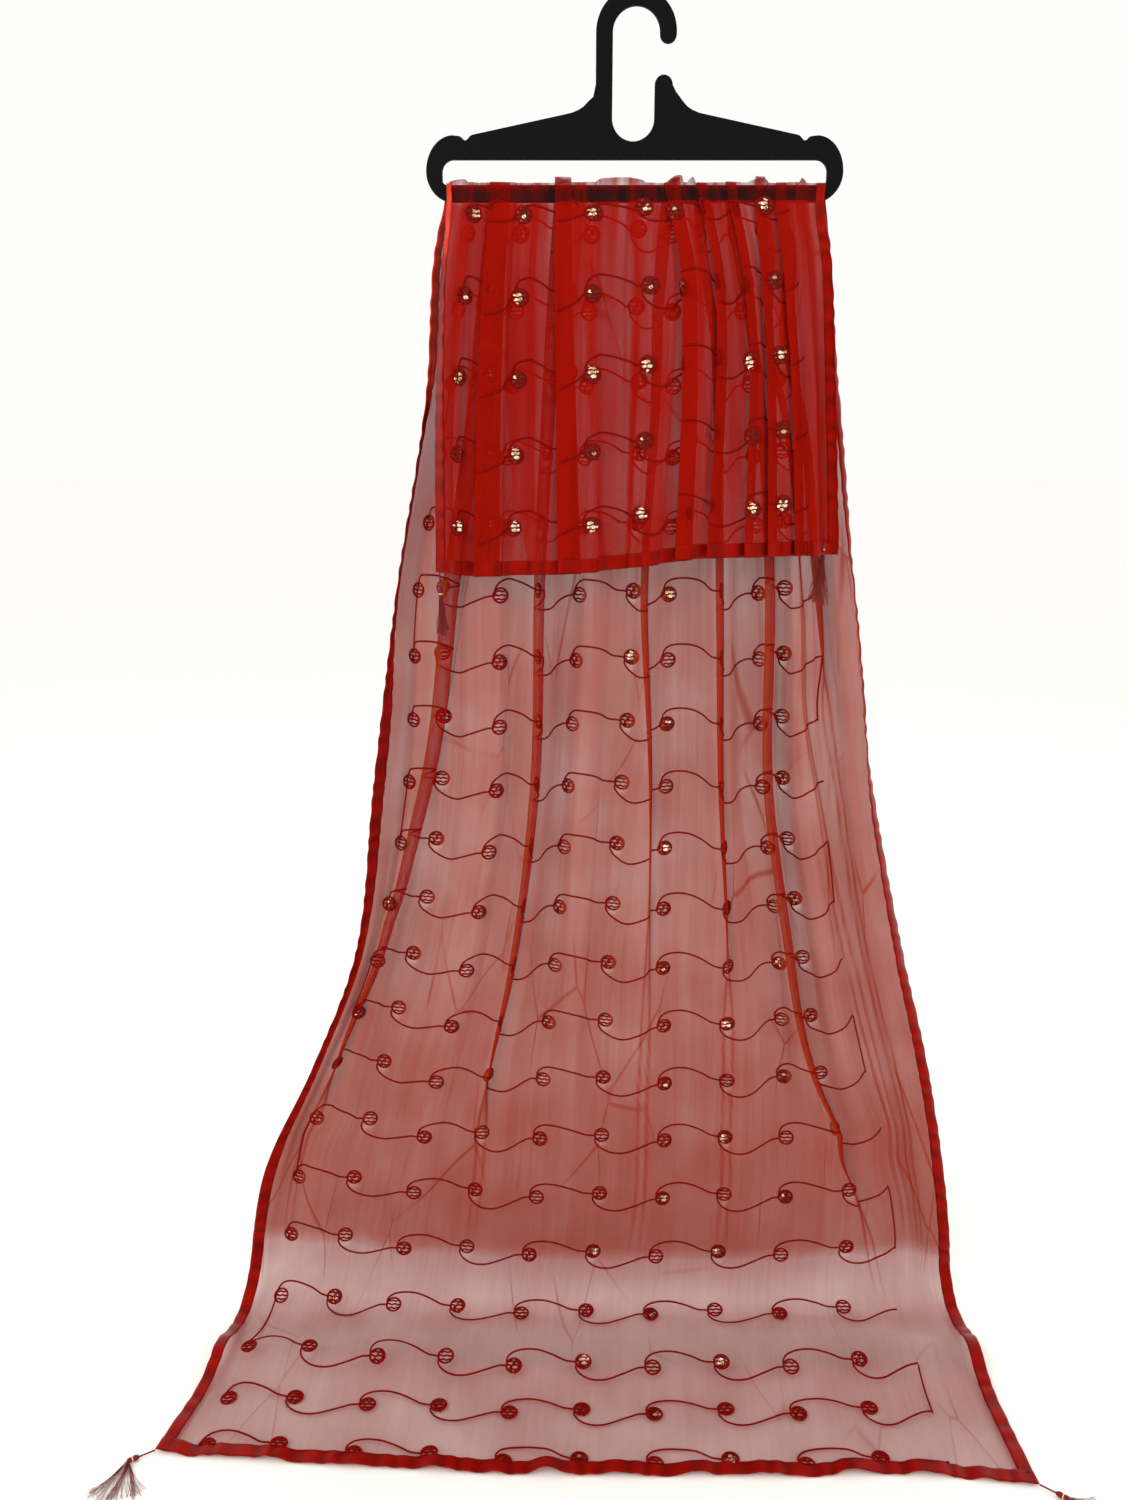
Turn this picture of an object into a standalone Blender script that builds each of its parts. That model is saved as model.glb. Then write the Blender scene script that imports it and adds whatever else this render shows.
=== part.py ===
"""Dupatta stole of sheer net, hung over the lower bar of a flat hanger.

Metres, +Z up, front towards -Y. The origin is the top of the hook's inside, where the hanger hangs.
One sheet of net with a satin ribbon round it and a tassel at each corner goes over the bar: a short flap
in front, a long fall behind it that reaches the floor and runs forward over it.
On the flat cloth, u runs from the left edge to the right, and v from the bar: down the flap where it is
negative, down the long fall where it is positive.
"""
import math

import bpy
import numpy as np

# Driving dimensions of the cloth
CLOTH_WIDTH = 0.890
FLAP_LENGTH = 0.364
FALL_LENGTH = 1.488
BORDER = 0.0145
SEAM_GAP = 0.0005
NET_WALL = 0.0012
SATIN_WALL = 0.0016

# Where the sheet changes from one stretch to the next, as v
BAR_FRONT = -0.0085
BAR_BACK = 0.0085
FLOOR_START = 1.190

# Heights, from the origin
BAR_LINE = -0.151
FLOOR = -1.367

# The flap hangs a little askew: its left end lower, its right end higher, all of it past SKEW_START
FLAP_SKEW = 0.009
SKEW_START = 0.200

# Share of the long fall's length that small crinkles take up
CRINKLE = 0.015

# Folds: their bends, the room beside them, and the bands below which one turns less or is gone
BEND_RADIUS = 0.002
BEND_LENGTH = math.pi * BEND_RADIUS
FOLD_MARGIN = 0.0035
LEAST_BAND = 0.010
NO_BAND = 0.0004

# Cross sections: step over the flat width, steepest slope angle in radians, least hung over flat width,
# degree of the trend that is taken out of the depth, and how far a stretch may be squeezed further
FINE_STEP = 0.0005
STEEPEST = 1.25
LEAST_RATIO = 0.2
TREND_DEGREE = 5
MOST_SQUEEZE = 0.6

# Beside a ribbon's seam the net lies stiller: reach, share of slope left, and share that isn't squeezed
SEAM_REACH = 0.012
SEAM_SLOPE = 0.1
SEAM_STIFF = 0.25

# Meshes: steps for the cloth's directions, least column distance, sharpest mitre and column distances
TANGENT_STEP = 0.001
SEAM_STEP = 0.003
LEAST_STEP = 0.0006
LEAST_MITRE = 0.68
LOOSE_STEP = 0.0150
FLOOR_STEP = 0.022

# Hanger
BAR_HALF_THICKNESS = 0.0025
WRAP_RADIUS = 0.0048

# Flat places of the columns that the hung widths are given for: both edges and six rows of motifs
COLUMN_U = (0.0, 0.057, 0.207, 0.357, 0.507, 0.657, 0.732, CLOTH_WIDTH)

# Hung widths: v, then x in millimetres of the left edge, motif rows 1, 3, 5, 7, 9 and 10, and the right edge
HUNG = (
    (-0.356, -199, -177, -121, -40, 62, 124, 155, 212),
    (-0.190, -191, -169, -114, -40, 54, 114, 145, 196),
    (0.000, -177, -151, -106, -39, 36, 97, 122, 175),
    (0.190, -205, -183, -120, -44, 44, 120, 150, 212),
    (0.405, -243, -221, -134, -51, 44, 138, 166, 241),
    (0.620, -273, -238, -141, -63, 45, 150, 176, 275),
    (0.834, -305, -283, -177, -78, 45, 178, 206, 320),
    (0.977, -358, -342, -214, -92, 49, 189, 231, 354),
    (1.120, -418, -378, -243, -100, 48, 192, 266, 378),
    (1.263, -440, -398, -265, -117, 32, 181, 256, 388),
    (1.406, -456, -420, -272, -124, 26, 175, 250, 387),
    (1.488, -474, -426, -277, -128, 21, 170, 244, 390),
)

# Folds that lie over themselves in three layers: flat place u and band width, both in millimetres,
# where the band is widest on the flap's hem, at the bar, and at the distances down the long fall
FOLD_V = (-0.356, 0.0, 0.190, 0.405, 0.620, 0.834, 0.977, 1.120, 1.263)
FOLDS = {
    "left_wide": {
        "u": (139, 130, 125, 120, 98, 70, 58, 50, 50),
        "band": (28, 22, 22, 21, 18, 13, 7, 0, 0),
    },
    "left_inner": {
        "u": (308, 292, 285, 280, 284, 284, 280, 284, 284),
        "band": (26, 18, 17, 14, 13, 10, 6, 0, 0),
    },
    "middle": {
        "u": (515, 490, 466, 457, 478, 485, 480, 480, 480),
        "band": (20, 16, 12, 10, 7, 4, 0, 0, 0),
    },
    "right_inner": {
        "u": (578, 580, 583, 583, 583, 584, 583, 583, 583),
        "band": (14, 12, 11, 10, 8, 5, 0, 0, 0),
    },
    "right_wide": {
        "u": (640, 662, 683, 692, 676, 692, 714, 744, 788),
        "band": (12, 12, 12, 12, 12, 12, 10, 6, 0),
    },
    "right_slim": {
        "u": (700, 718, 742, 765, 790, 812, 820, 825, 830),
        "band": (13, 11, 9, 5, 4, 0, 0, 0, 0),
    },
    "right_margin": {
        "u": (775, 775, 788, 805, 822, 835, 843, 845, 850),
        "band": (13, 12, 12, 9, 0, 0, 0, 0, 0),
    },
}

# How the cross section changes along the cloth: v, slope of the small gathers, share of the waves' depth and
# of the folds' depth that is left when they are pressed, and which side lies on the fall line (0 the inner)
WAVES = (
    (-0.356, 0.35, 0.34, 1.00, 0.45),
    (-0.190, 0.45, 0.36, 1.00, 0.40),
    (-0.045, 0.70, 0.15, 0.75, 0.00),
    (0.000, 0.80, 0.13, 0.72, 0.00),
    (0.045, 0.70, 0.15, 0.75, 0.00),
    (0.200, 0.35, 0.50, 1.00, 0.35),
    (0.400, 0.10, 0.66, 1.00, 0.50),
    (0.700, 0.00, 0.72, 1.00, 0.50),
    (1.050, 0.00, 0.60, 1.00, 0.55),
    (1.190, 0.00, 0.40, 1.00, 0.90),
    (1.260, 0.00, 0.30, 1.00, 1.00),
    (1.488, 0.00, 0.24, 1.00, 1.00),
)

# Both kinds of wave across the flat cloth: length, and how far and how slowly they run ahead of even spacing;
# the wide ones also lean, by so many radians, as v grows
WAVE_SHAPE = {"length": 0.098, "drift": 0.9, "drift_length": 0.37, "lean": 0.6, "lean_rate": 3.1}
GATHER_SHAPE = {"length": 0.037, "drift": 1.2, "drift_length": 0.21}

# Fall line, side view: y and height above the bar line, from the flap's hem over the bar to the hem
FLAP_LINE = ((-0.018, -0.420), (-0.0165, -0.260), (-0.0135, -0.140), (-0.0085, -0.050), (-0.0050, -0.021))
FALL_LINE = (
    (0.0050, -0.021), (0.0070, -0.050), (0.014, -0.130), (0.018, -0.260), (0.016, -0.500), (0.010, -0.750),
    (0.001, -0.930), (-0.009, -1.060), (-0.019, -1.140), (-0.034, -1.187), (-0.060, -1.2115),
    (-0.090, -1.2150), (-0.112, -1.2085), (-0.134, -1.2000), (-0.156, -1.2080), (-0.180, -1.2148),
    (-0.215, -1.2153), (-0.260, -1.2153), (-0.370, -1.2153),
)

COLOURS = {
    "net": (0.42, 0.030, 0.022, 0.62, 0.0),
    "satin": (0.36, 0.010, 0.010, 0.34, 0.0),
    "thread": (0.20, 0.012, 0.014, 0.70, 0.0),
    "hanger": (0.006, 0.007, 0.008, 0.35, 0.0),
}


def clear_scene():
    for obj in list(bpy.data.objects):
        bpy.data.objects.remove(obj, do_unlink=True)


def material(name):
    """A plain Principled material from COLOURS: red, green, blue, roughness, metallic."""
    mat = bpy.data.materials.get(name) or bpy.data.materials.new(name)
    mat.use_nodes = True
    red, green, blue, roughness, metallic = COLOURS[name]
    shader = mat.node_tree.nodes["Principled BSDF"]
    shader.inputs["Base Color"].default_value = (red, green, blue, 1.0)
    shader.inputs["Roughness"].default_value = roughness
    shader.inputs["Metallic"].default_value = metallic
    mat.diffuse_color = (red, green, blue, 1.0)
    return mat


def add_object(name, verts, faces, mat_name):
    mesh = bpy.data.meshes.new(name)
    mesh.from_pydata([tuple(map(float, p)) for p in verts], [], [tuple(map(int, f)) for f in faces])
    mesh.validate()
    obj = bpy.data.objects.new(name, mesh)
    bpy.context.scene.collection.objects.link(obj)
    mesh.materials.append(material(mat_name))
    return obj


def smooth_curve(knots, values, at):
    """Cubic Hermite curve through values at knots, with slopes from the neighbours on each side."""
    knots = np.asarray(knots, float)
    values = np.asarray(values, float)
    slopes = np.gradient(values, knots, axis=0)
    at = np.clip(np.asarray(at, float), knots[0], knots[-1])
    cell = np.clip(np.searchsorted(knots, at, side="right") - 1, 0, len(knots) - 2)
    width = knots[cell + 1] - knots[cell]
    share = (at - knots[cell]) / width
    if values.ndim > 1:
        width = width[:, None]
        share = share[:, None]
    rise = share * share * (3 - 2 * share)
    start = share * (1 - share) ** 2 * width
    end = share * share * (share - 1) * width
    straight = values[cell] * (1 - rise) + values[cell + 1] * rise
    return straight + slopes[cell] * start + slopes[cell + 1] * end


def table(rows):
    return np.array(rows, float)


def fall_line():
    """The side view as dense points with their distance v from the bar's top: flap, half circle, fall."""
    angles = np.linspace(math.pi, 0.0, 17)
    arc = np.column_stack([WRAP_RADIUS * np.cos(angles), WRAP_RADIUS * (np.sin(angles) - 1)])
    front = smooth_path(np.array(FLAP_LINE + (tuple(arc[0]),)))
    back = smooth_path(np.array((tuple(arc[-1]),) + FALL_LINE))
    path = np.vstack([front[:-1], arc, back[1:]])
    length = np.concatenate([[0.0], np.cumsum(np.linalg.norm(np.diff(path, axis=0), axis=1))])
    top = len(front) - 1 + len(arc) // 2
    return length - length[top], path


def smooth_path(points):
    """Points every few millimetres along a smooth curve through the given ones."""
    knots = np.concatenate([[0.0], np.cumsum(np.linalg.norm(np.diff(points, axis=0), axis=1))])
    return smooth_curve(knots, points, np.linspace(0.0, knots[-1], 60 * len(points)))


LINE_V, LINE_YZ = fall_line()
FINE_U = np.arange(0.0, CLOTH_WIDTH + FINE_STEP / 2, FINE_STEP)


def hung_columns(v):
    """x of each column of COLUMN_U, a row for each v."""
    rows = table(HUNG)
    return smooth_curve(rows[:, 0], rows[:, 1:] / 1000.0, v)


def fold_state(v):
    """Flat places and band widths of the folds, each as rows for v and columns for folds."""
    places = np.array([fold["u"] for fold in FOLDS.values()], float).T / 1000.0
    bands = np.array([fold["band"] for fold in FOLDS.values()], float).T / 1000.0
    return smooth_curve(FOLD_V, places, v), np.maximum(smooth_curve(FOLD_V, bands, v), 0.0)


def step(x):
    return np.clip(x, 0.0, 1.0)


def lost_length(v):
    """Length along the fall line that each column loses because it also runs sideways."""
    dense = np.linspace(-FLAP_LENGTH, FALL_LENGTH, 200)
    slope = np.gradient(hung_columns(dense), dense, axis=0)
    lost = 1.0 - np.sqrt(np.clip(1.0 - slope ** 2, 0.0, 1.0))
    total = np.cumsum(lost, axis=0) * (dense[1] - dense[0])
    total -= np.array([np.interp(0.0, dense, column) for column in total.T])
    return np.array([np.interp(v, dense, column) for column in total.T]).T


def fold_reach(half):
    """From a fold's middle to where its lowest layer comes out from under the others."""
    return 3 * half - BEND_LENGTH / 2 + FOLD_MARGIN


def fold_turn(v):
    """How far round the cloth has turned, as a share of half a turn, and which of FINE_U belong to a fold:
    its three layers, which lie flat on each other."""
    places, bands = fold_state(v)
    turn = np.zeros((len(v), len(FINE_U)))
    inside = np.zeros_like(turn, bool)
    for place, band in zip(places.T, bands.T):
        offset = FINE_U[None, :] - place[:, None]
        half = np.maximum(band, LEAST_BAND)[:, None] / 2
        most = step(band / LEAST_BAND)[:, None]
        opened = step((offset + half) / BEND_LENGTH + 0.5)
        closed = step((offset - half) / BEND_LENGTH + 0.5)
        turn += most * (opened - closed)
        inside |= (np.abs(offset) < fold_reach(half)) & (band[:, None] > NO_BAND)
    return turn, inside


def column_parts():
    """The stretch of FINE_U between each pair of columns."""
    bounds = np.searchsorted(FINE_U, np.array(COLUMN_U) - FINE_STEP / 2)
    bounds[-1] = len(FINE_U)
    return [slice(start, end) for start, end in zip(bounds[:-1], bounds[1:])]


def loose_share(v, turn, inside):
    """Hung width over flat width of what lies outside the folds, between each pair of columns."""
    wanted = np.diff(hung_columns(v), axis=1)
    folded = np.cos(math.pi * turn) * inside * FINE_STEP
    ratio = np.zeros_like(wanted)
    for i, part in enumerate(column_parts()):
        room = (~inside[:, part]).sum(axis=1) * FINE_STEP
        ratio[:, i] = (wanted[:, i] - folded[:, part].sum(axis=1)) / room
    return ratio


def wave_phase(shape):
    """Phase of a wave over FINE_U: even, plus a slow drift."""
    drift = shape["drift"] * np.sin(2 * math.pi * FINE_U / shape["drift_length"])
    return 2 * math.pi * FINE_U / shape["length"] + drift


def section(v):
    """Cross sections of the hung cloth: x and depth over FINE_U, a row for each v.

    The slope angle of the cloth is a soft wave between the folds and turns right round inside them. The
    waves are as steep as it takes to bring the flat width between two columns into the hung one."""
    v = np.atleast_1d(np.asarray(v, float))
    rows = table(WAVES)
    gather, wave_share, fold_share, side = smooth_curve(rows[:, 0], rows[:, 1:], v).T
    turn, inside = fold_turn(v)
    ratio = np.clip(loose_share(v, turn, inside) / (1.0 - gather[:, None] ** 2 / 4), LEAST_RATIO, 1.0)
    steepness = 2.0 * np.sqrt(2.0 * (1.0 - np.sqrt(ratio)))
    centres = (np.array(COLUMN_U[:-1]) + np.array(COLUMN_U[1:])) / 2
    slope = np.array([np.interp(FINE_U, centres, row) for row in steepness])
    lean = WAVE_SHAPE["lean"] * np.sin(WAVE_SHAPE["lean_rate"] * v)
    wave = wave_phase(WAVE_SHAPE) + lean[:, None]
    seam = np.minimum(np.abs(FINE_U - BORDER), np.abs(CLOTH_WIDTH - BORDER - FINE_U))
    angle = slope * np.sin(wave) + gather[:, None] * np.sin(wave_phase(GATHER_SHAPE))
    angle *= step(SEAM_SLOPE + seam / SEAM_REACH)
    angle = np.where(inside, math.pi * turn, np.clip(angle, -STEEPEST, STEEPEST))
    across = np.cos(angle) * FINE_STEP
    columns = hung_columns(v)
    wanted = np.diff(columns, axis=1)
    owed = np.zeros(len(v))
    for i, part in enumerate(column_parts()):
        fixed = (across[:, part] * inside[:, part]).sum(axis=1)
        loose = across[:, part] * ~inside[:, part]
        give = loose * step(seam[part] / SEAM_REACH - SEAM_STIFF)
        need = (wanted[:, i] - owed - fixed - loose.sum(axis=1)) / give.sum(axis=1)
        squeeze = np.maximum(need, -MOST_SQUEEZE)
        across[:, part] += give * squeeze[:, None]
        owed = (squeeze - need) * give.sum(axis=1)
    x = columns[:, :1] + np.cumsum(across, axis=1) - across
    share = np.where(inside, fold_share[:, None], wave_share[:, None])
    depth = np.cumsum(np.sin(angle) * share * FINE_STEP, axis=1)
    for across_row, row in zip(x / CLOTH_WIDTH, depth):
        row -= np.polyval(np.polyfit(across_row, row, TREND_DEGREE), across_row)
    low = depth.min(axis=1, keepdims=True)
    high = depth.max(axis=1, keepdims=True)
    return x, depth - low - side[:, None] * (high - low)


def surface(u, v):
    """Points of the sheet's middle: u has a row for each v, and each row the flat places across it."""
    x, depth = section(v)
    lost = lost_length(v)
    points = np.zeros(u.shape + (3,))
    for j in range(len(v)):
        skew = FLAP_SKEW * (1.0 - 2.0 * u[j] / CLOTH_WIDTH) * step(-v[j] / SKEW_START)
        along = v[j] - CRINKLE * max(v[j], 0.0) - skew - np.interp(u[j], COLUMN_U, lost[j])
        line = np.array([np.interp(along, LINE_V, LINE_YZ[:, k]) for k in (0, 1)])
        ahead = np.array([np.interp(along + 0.001, LINE_V, LINE_YZ[:, k]) for k in (0, 1)])
        behind = np.array([np.interp(along - 0.001, LINE_V, LINE_YZ[:, k]) for k in (0, 1)])
        tangent = (ahead - behind) / np.linalg.norm(ahead - behind, axis=0)
        lift = np.interp(u[j], FINE_U, depth[j])
        points[j, :, 0] = np.interp(u[j], FINE_U, x[j])
        points[j, :, 1] = line[0] - tangent[1] * lift
        points[j, :, 2] = line[1] + tangent[0] * lift + BAR_LINE
    return points


def net_tracks(v, spacing, folds):
    """Flat places of the net's mesh columns: six at each fold, which follow it, and even ones between."""
    places, bands = fold_state(v)
    start = BORDER + SEAM_GAP / 2
    end = CLOTH_WIDTH - start
    columns = [np.full(len(v), start)]
    stops = []
    if folds:
        for place, band in zip(places.T, bands.T):
            half = np.maximum(band, LEAST_BAND) / 2
            reach = fold_reach(half)
            stops.append([place - reach, place - half - BEND_LENGTH / 2, place - half + BEND_LENGTH / 2,
                          place + half - BEND_LENGTH / 2, place + half + BEND_LENGTH / 2, place + reach])
    stops.append([np.full(len(v), end)])
    for stop in stops:
        before = columns[-1]
        count = max(1, int(round(float(np.mean(stop[0] - before)) / spacing)))
        for k in range(1, count):
            columns.append(before + (stop[0] - before) * k / count)
        columns.extend(stop)
    columns = np.sort(np.column_stack(columns), axis=1)
    steps = np.arange(columns.shape[1]) * LEAST_STEP
    columns = np.maximum.accumulate(np.maximum(columns, start) - steps, axis=1) + steps
    return np.minimum(columns, end - steps[::-1])


def strip_tracks(v, spacing, folds):
    """The net's mesh columns with the two ribbons' added at each end, for a hem's whole width."""
    left = np.array([0.0, BORDER / 2])
    ones = np.ones((len(v), 1))
    return np.hstack([ones * left, net_tracks(v, spacing, folds), ones * (CLOTH_WIDTH - left[::-1])])


def side_tracks(v, start, end):
    return np.ones((len(v), 1)) * np.linspace(start, end, 3)


def wall(name, points, along, ends, thickness, mat_name):
    """A closed wall with the given middle surface, mitred where its cross section turns. At its two ends it
    faces the way given by the cloth on both sides of the seam."""
    across = np.diff(points, axis=1)
    facing = np.cross(across, (along[:, 1:] + along[:, :-1]) / 2)
    facing /= np.linalg.norm(facing, axis=2, keepdims=True)
    first, last = (np.cross(ends[k], along[:, k]) for k in (0, -1))
    first /= np.linalg.norm(first, axis=1, keepdims=True)
    last /= np.linalg.norm(last, axis=1, keepdims=True)
    middle = facing[:, 1:] + facing[:, :-1]
    middle /= np.linalg.norm(middle, axis=2, keepdims=True)
    mitre = 1.0 / np.maximum((middle * facing[:, 1:]).sum(axis=2, keepdims=True), LEAST_MITRE)
    shift = np.concatenate([first[:, None], middle * mitre, last[:, None]], axis=1) * thickness / 2
    rows, columns = points.shape[:2]
    verts = np.concatenate([(points + shift).reshape(-1, 3), (points - shift).reshape(-1, 3)])
    index = np.arange(rows * columns).reshape(rows, columns)
    other = index + rows * columns
    faces = []
    near, far = index[:-1], index[1:]
    for a, b, c, d in zip(near[:, :-1].flat, near[:, 1:].flat, far[:, 1:].flat, far[:, :-1].flat):
        for face in ((a, b, c), (a, c, d)):
            faces.append(face)
            faces.append(tuple(i + rows * columns for i in reversed(face)))
    ring = list(index[0, :]) + list(index[1:, -1]) + list(index[-1, -2::-1]) + list(index[-2:0:-1, 0])
    back = list(other[0, :]) + list(other[1:, -1]) + list(other[-1, -2::-1]) + list(other[-2:0:-1, 0])
    for k in range(len(ring)):
        n = (k + 1) % len(ring)
        faces.append((ring[n], ring[k], back[k], back[n]))
    return add_object(name, verts, faces, mat_name)


def stretch(name, v, u, thickness, mat_name):
    """One stretch of cloth as a wall: flat places u, a row for each v."""
    along = surface(u, v + TANGENT_STEP) - surface(u, v - TANGENT_STEP)
    edge = u[:, [0, -1]]
    ends = surface(edge + SEAM_STEP, v) - surface(edge - SEAM_STEP, v)
    return wall(name, surface(u, v), along, (ends[:, 0], ends[:, 1]), thickness, mat_name)


def flap_rows():
    return np.linspace(BORDER + SEAM_GAP / 2 - FLAP_LENGTH, BAR_FRONT - SEAM_GAP / 2, 7)


def bar_rows():
    return np.linspace(BAR_FRONT + SEAM_GAP / 2, BAR_BACK - SEAM_GAP / 2, 8)


def fall_rows():
    below = np.linspace(0.160, FLOOR_START - SEAM_GAP / 2, 12)
    return np.concatenate([[BAR_BACK + SEAM_GAP / 2, 0.075], below])


def floor_rows():
    return np.linspace(FLOOR_START + SEAM_GAP / 2, FALL_LENGTH - BORDER - SEAM_GAP / 2, 10)


def build_net():
    """The four stretches of net between the ribbons."""
    hanging = {"net_front_flap": flap_rows(), "net_bar_fold": bar_rows(), "net_back_fall": fall_rows()}
    for name, rows in hanging.items():
        stretch(name, rows, net_tracks(rows, LOOSE_STEP, True), NET_WALL, "net")
    rows = floor_rows()
    stretch("net_floor_spread", rows, net_tracks(rows, FLOOR_STEP, False), NET_WALL, "net")


def build_borders():
    """The ribbon round the net: a strip along each side of each stretch, and one along each hem."""
    inner = BORDER - SEAM_GAP / 2
    flap = np.concatenate([flap_rows()[:-1], bar_rows()])
    for side, start, end in (("left", 0.0, inner), ("right", CLOTH_WIDTH - inner, CLOTH_WIDTH)):
        for part, rows in (("flap", flap), ("fall", fall_rows()), ("floor", floor_rows())):
            stretch("border_" + part + "_" + side, rows, side_tracks(rows, start, end), SATIN_WALL, "satin")
    hem = np.array([-FLAP_LENGTH, -FLAP_LENGTH + inner])
    stretch("border_flap_hem", hem, strip_tracks(hem, LOOSE_STEP, True), SATIN_WALL, "satin")
    hem = np.array([FALL_LENGTH - inner, FALL_LENGTH])
    stretch("border_floor_hem", hem, strip_tracks(hem, FLOOR_STEP, False), SATIN_WALL, "satin")


# Tassel: radius of each ring along it, from the end of the hanging thread to the foot of the head
TASSEL_RINGS = ((0.0, 0.0007), (0.0150, 0.0007), (0.0162, 0.0022), (0.0190, 0.0030), (0.0215, 0.0024),
                (0.0230, 0.0024), (0.0260, 0.0036))
TASSEL_SIDES = 8
TASSEL_LIFT = 0.0036
STRAND_LEVELS = ((0.0, 0.74), (1.0, 0.50))
STRAND_UNEVEN = 0.09

# Where each tassel hangs or lies: corner of the cloth, direction, strand length, spread across and in height
TASSELS = {
    "tassel_flap_left": {
        "u": BORDER / 2, "v": -FLAP_LENGTH, "way": (0.03, -0.02, -1.0), "strand": 0.040, "spread": (1.5, 1.2),
    },
    "tassel_flap_right": {
        "u": CLOTH_WIDTH - BORDER / 2, "v": -FLAP_LENGTH, "way": (-0.02, -0.02, -1.0), "strand": 0.038,
        "spread": (1.9, 1.3),
    },
    "tassel_hem_left": {
        "u": 0.0, "v": FALL_LENGTH, "way": (-0.80, -0.60, 0.0), "strand": 0.048, "spread": (3.0, 0.55),
    },
    "tassel_hem_right": {
        "u": CLOTH_WIDTH, "v": FALL_LENGTH, "way": (0.80, -0.60, 0.0), "strand": 0.048, "spread": (2.6, 0.55),
    },
}


def unit(vector):
    vector = np.asarray(vector, float)
    return vector / np.linalg.norm(vector)


def corner_point(u, v):
    return surface(np.array([[u]]), np.array([v]))[0, 0]


def strand_roots(radius):
    """Four-sided cells that cover a disc, as points in it: two rings of cells and four in the middle."""
    angles = 2 * math.pi * np.arange(TASSEL_SIDES + 1) / TASSEL_SIDES
    circle = np.column_stack([np.cos(angles), np.sin(angles)])
    rings = [radius * share * circle for share in (1.0, 0.66, 0.33)]
    cells = []
    for outer, inner in zip(rings[:-1], rings[1:]):
        cells += [(outer[k], outer[k + 1], inner[k + 1], inner[k]) for k in range(TASSEL_SIDES)]
    core = rings[-1]
    cells += [(core[k], core[k + 1], core[k + 2], np.zeros(2)) for k in range(0, TASSEL_SIDES, 2)]
    return cells


def build_tassel(name, spec):
    """A thread, a bound head and twenty strands that grow apart from the head's foot, in one closed body."""
    way = unit(spec["way"])
    lying = abs(way[2]) < 0.5
    up = np.array([0.0, 0.0, 1.0]) if lying else np.array([0.0, -1.0, 0.0])
    side = unit(np.cross(up, way))
    up = np.cross(way, side)
    start = corner_point(spec["u"], spec["v"]) + way * SEAM_GAP
    if lying:
        start[2] = FLOOR + TASSEL_LIFT

    def place(distance, height, a, b):
        return tuple(start + way * distance + up * (height + b) + side * a)

    verts = []
    faces = []
    seen = {}

    def vertex(point):
        key = tuple(round(c * 1e7) for c in point)
        if key not in seen:
            seen[key] = len(verts)
            verts.append(point)
        return seen[key]

    angles = 2 * math.pi * np.arange(TASSEL_SIDES) / TASSEL_SIDES
    circle = np.column_stack([np.cos(angles), np.sin(angles)])
    rings = []
    for distance, radius in TASSEL_RINGS:
        height = max(radius + SEAM_GAP, TASSEL_LIFT) - TASSEL_LIFT if lying else 0.0
        rings.append([vertex(place(distance, height, *spot)) for spot in radius * circle])
    faces.append(tuple(reversed(rings[0])))
    for lower, upper in zip(rings[:-1], rings[1:]):
        for k in range(TASSEL_SIDES):
            n = (k + 1) % TASSEL_SIDES
            faces.append((lower[k], lower[n], upper[n], upper[k]))
    foot, foot_radius = TASSEL_RINGS[-1]
    for number, cell in enumerate(strand_roots(foot_radius)):
        centre = sum(cell) / 4
        length = spec["strand"] * (1.0 - STRAND_UNEVEN * (number * 7 % 5) / 4)
        loops = [[vertex(place(foot, height, *point)) for point in cell]]
        for share, thick in STRAND_LEVELS:
            wider, taller = (1 + (s - 1) * share * length / spec["strand"] for s in spec["spread"])
            sink = (foot_radius * (1 - taller)) if lying else 0.0
            loops.append([vertex(place(foot + length * share, height - sink,
                                       wider * (centre + (point - centre) * thick)[0],
                                       taller * (centre + (point - centre) * thick)[1])) for point in cell])
        for lower, upper in zip(loops[:-1], loops[1:]):
            for k in range(4):
                n = (k + 1) % 4
                faces.append((lower[k], lower[n], upper[n], upper[k]))
        faces.append(tuple(loops[-1]))
    return add_object(name, verts, faces, "thread")


# Hanger, in millimetres from the bar line: radii and places of its outline
HANGER = {
    "end_x": 172.5, "end_z": 9.4, "end_radius": 26.6, "end_rise": 32.3, "gap_radius": 11.0, "gap_corner": 4.0,
    "notch_x": 161.0, "notch_z": 37.2, "notch_half": 7.5, "notch_depth": 4.6,
    "neck_x": 62.0, "neck_z": 60.6, "stem_x": 37.6,
    "hook_z": 129.1, "hook_inner": 21.9, "hook_outer": 37.6, "tip_z": 124.6,
    "slot_left": -22.0, "slot_right": 17.8, "slot_z": 56.3, "prong_top": 93.4, "prong_right": 34.6,
}
HANGER_BEVEL = 0.0009

# The notch in each arm: place as a share of its half width and height as a share of its depth
NOTCH_SHAPE = ((0.72, 0.85), (0.35, 0.25), (0.0, 0.0), (-0.35, 0.28), (-0.72, 0.93), (-1.10, 1.16))


def arc(cx, cz, radius, start, end, count):
    angles = np.radians(np.linspace(start, end, count))
    return [(cx + radius * math.cos(a), cz + radius * math.sin(a)) for a in angles]


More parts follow.
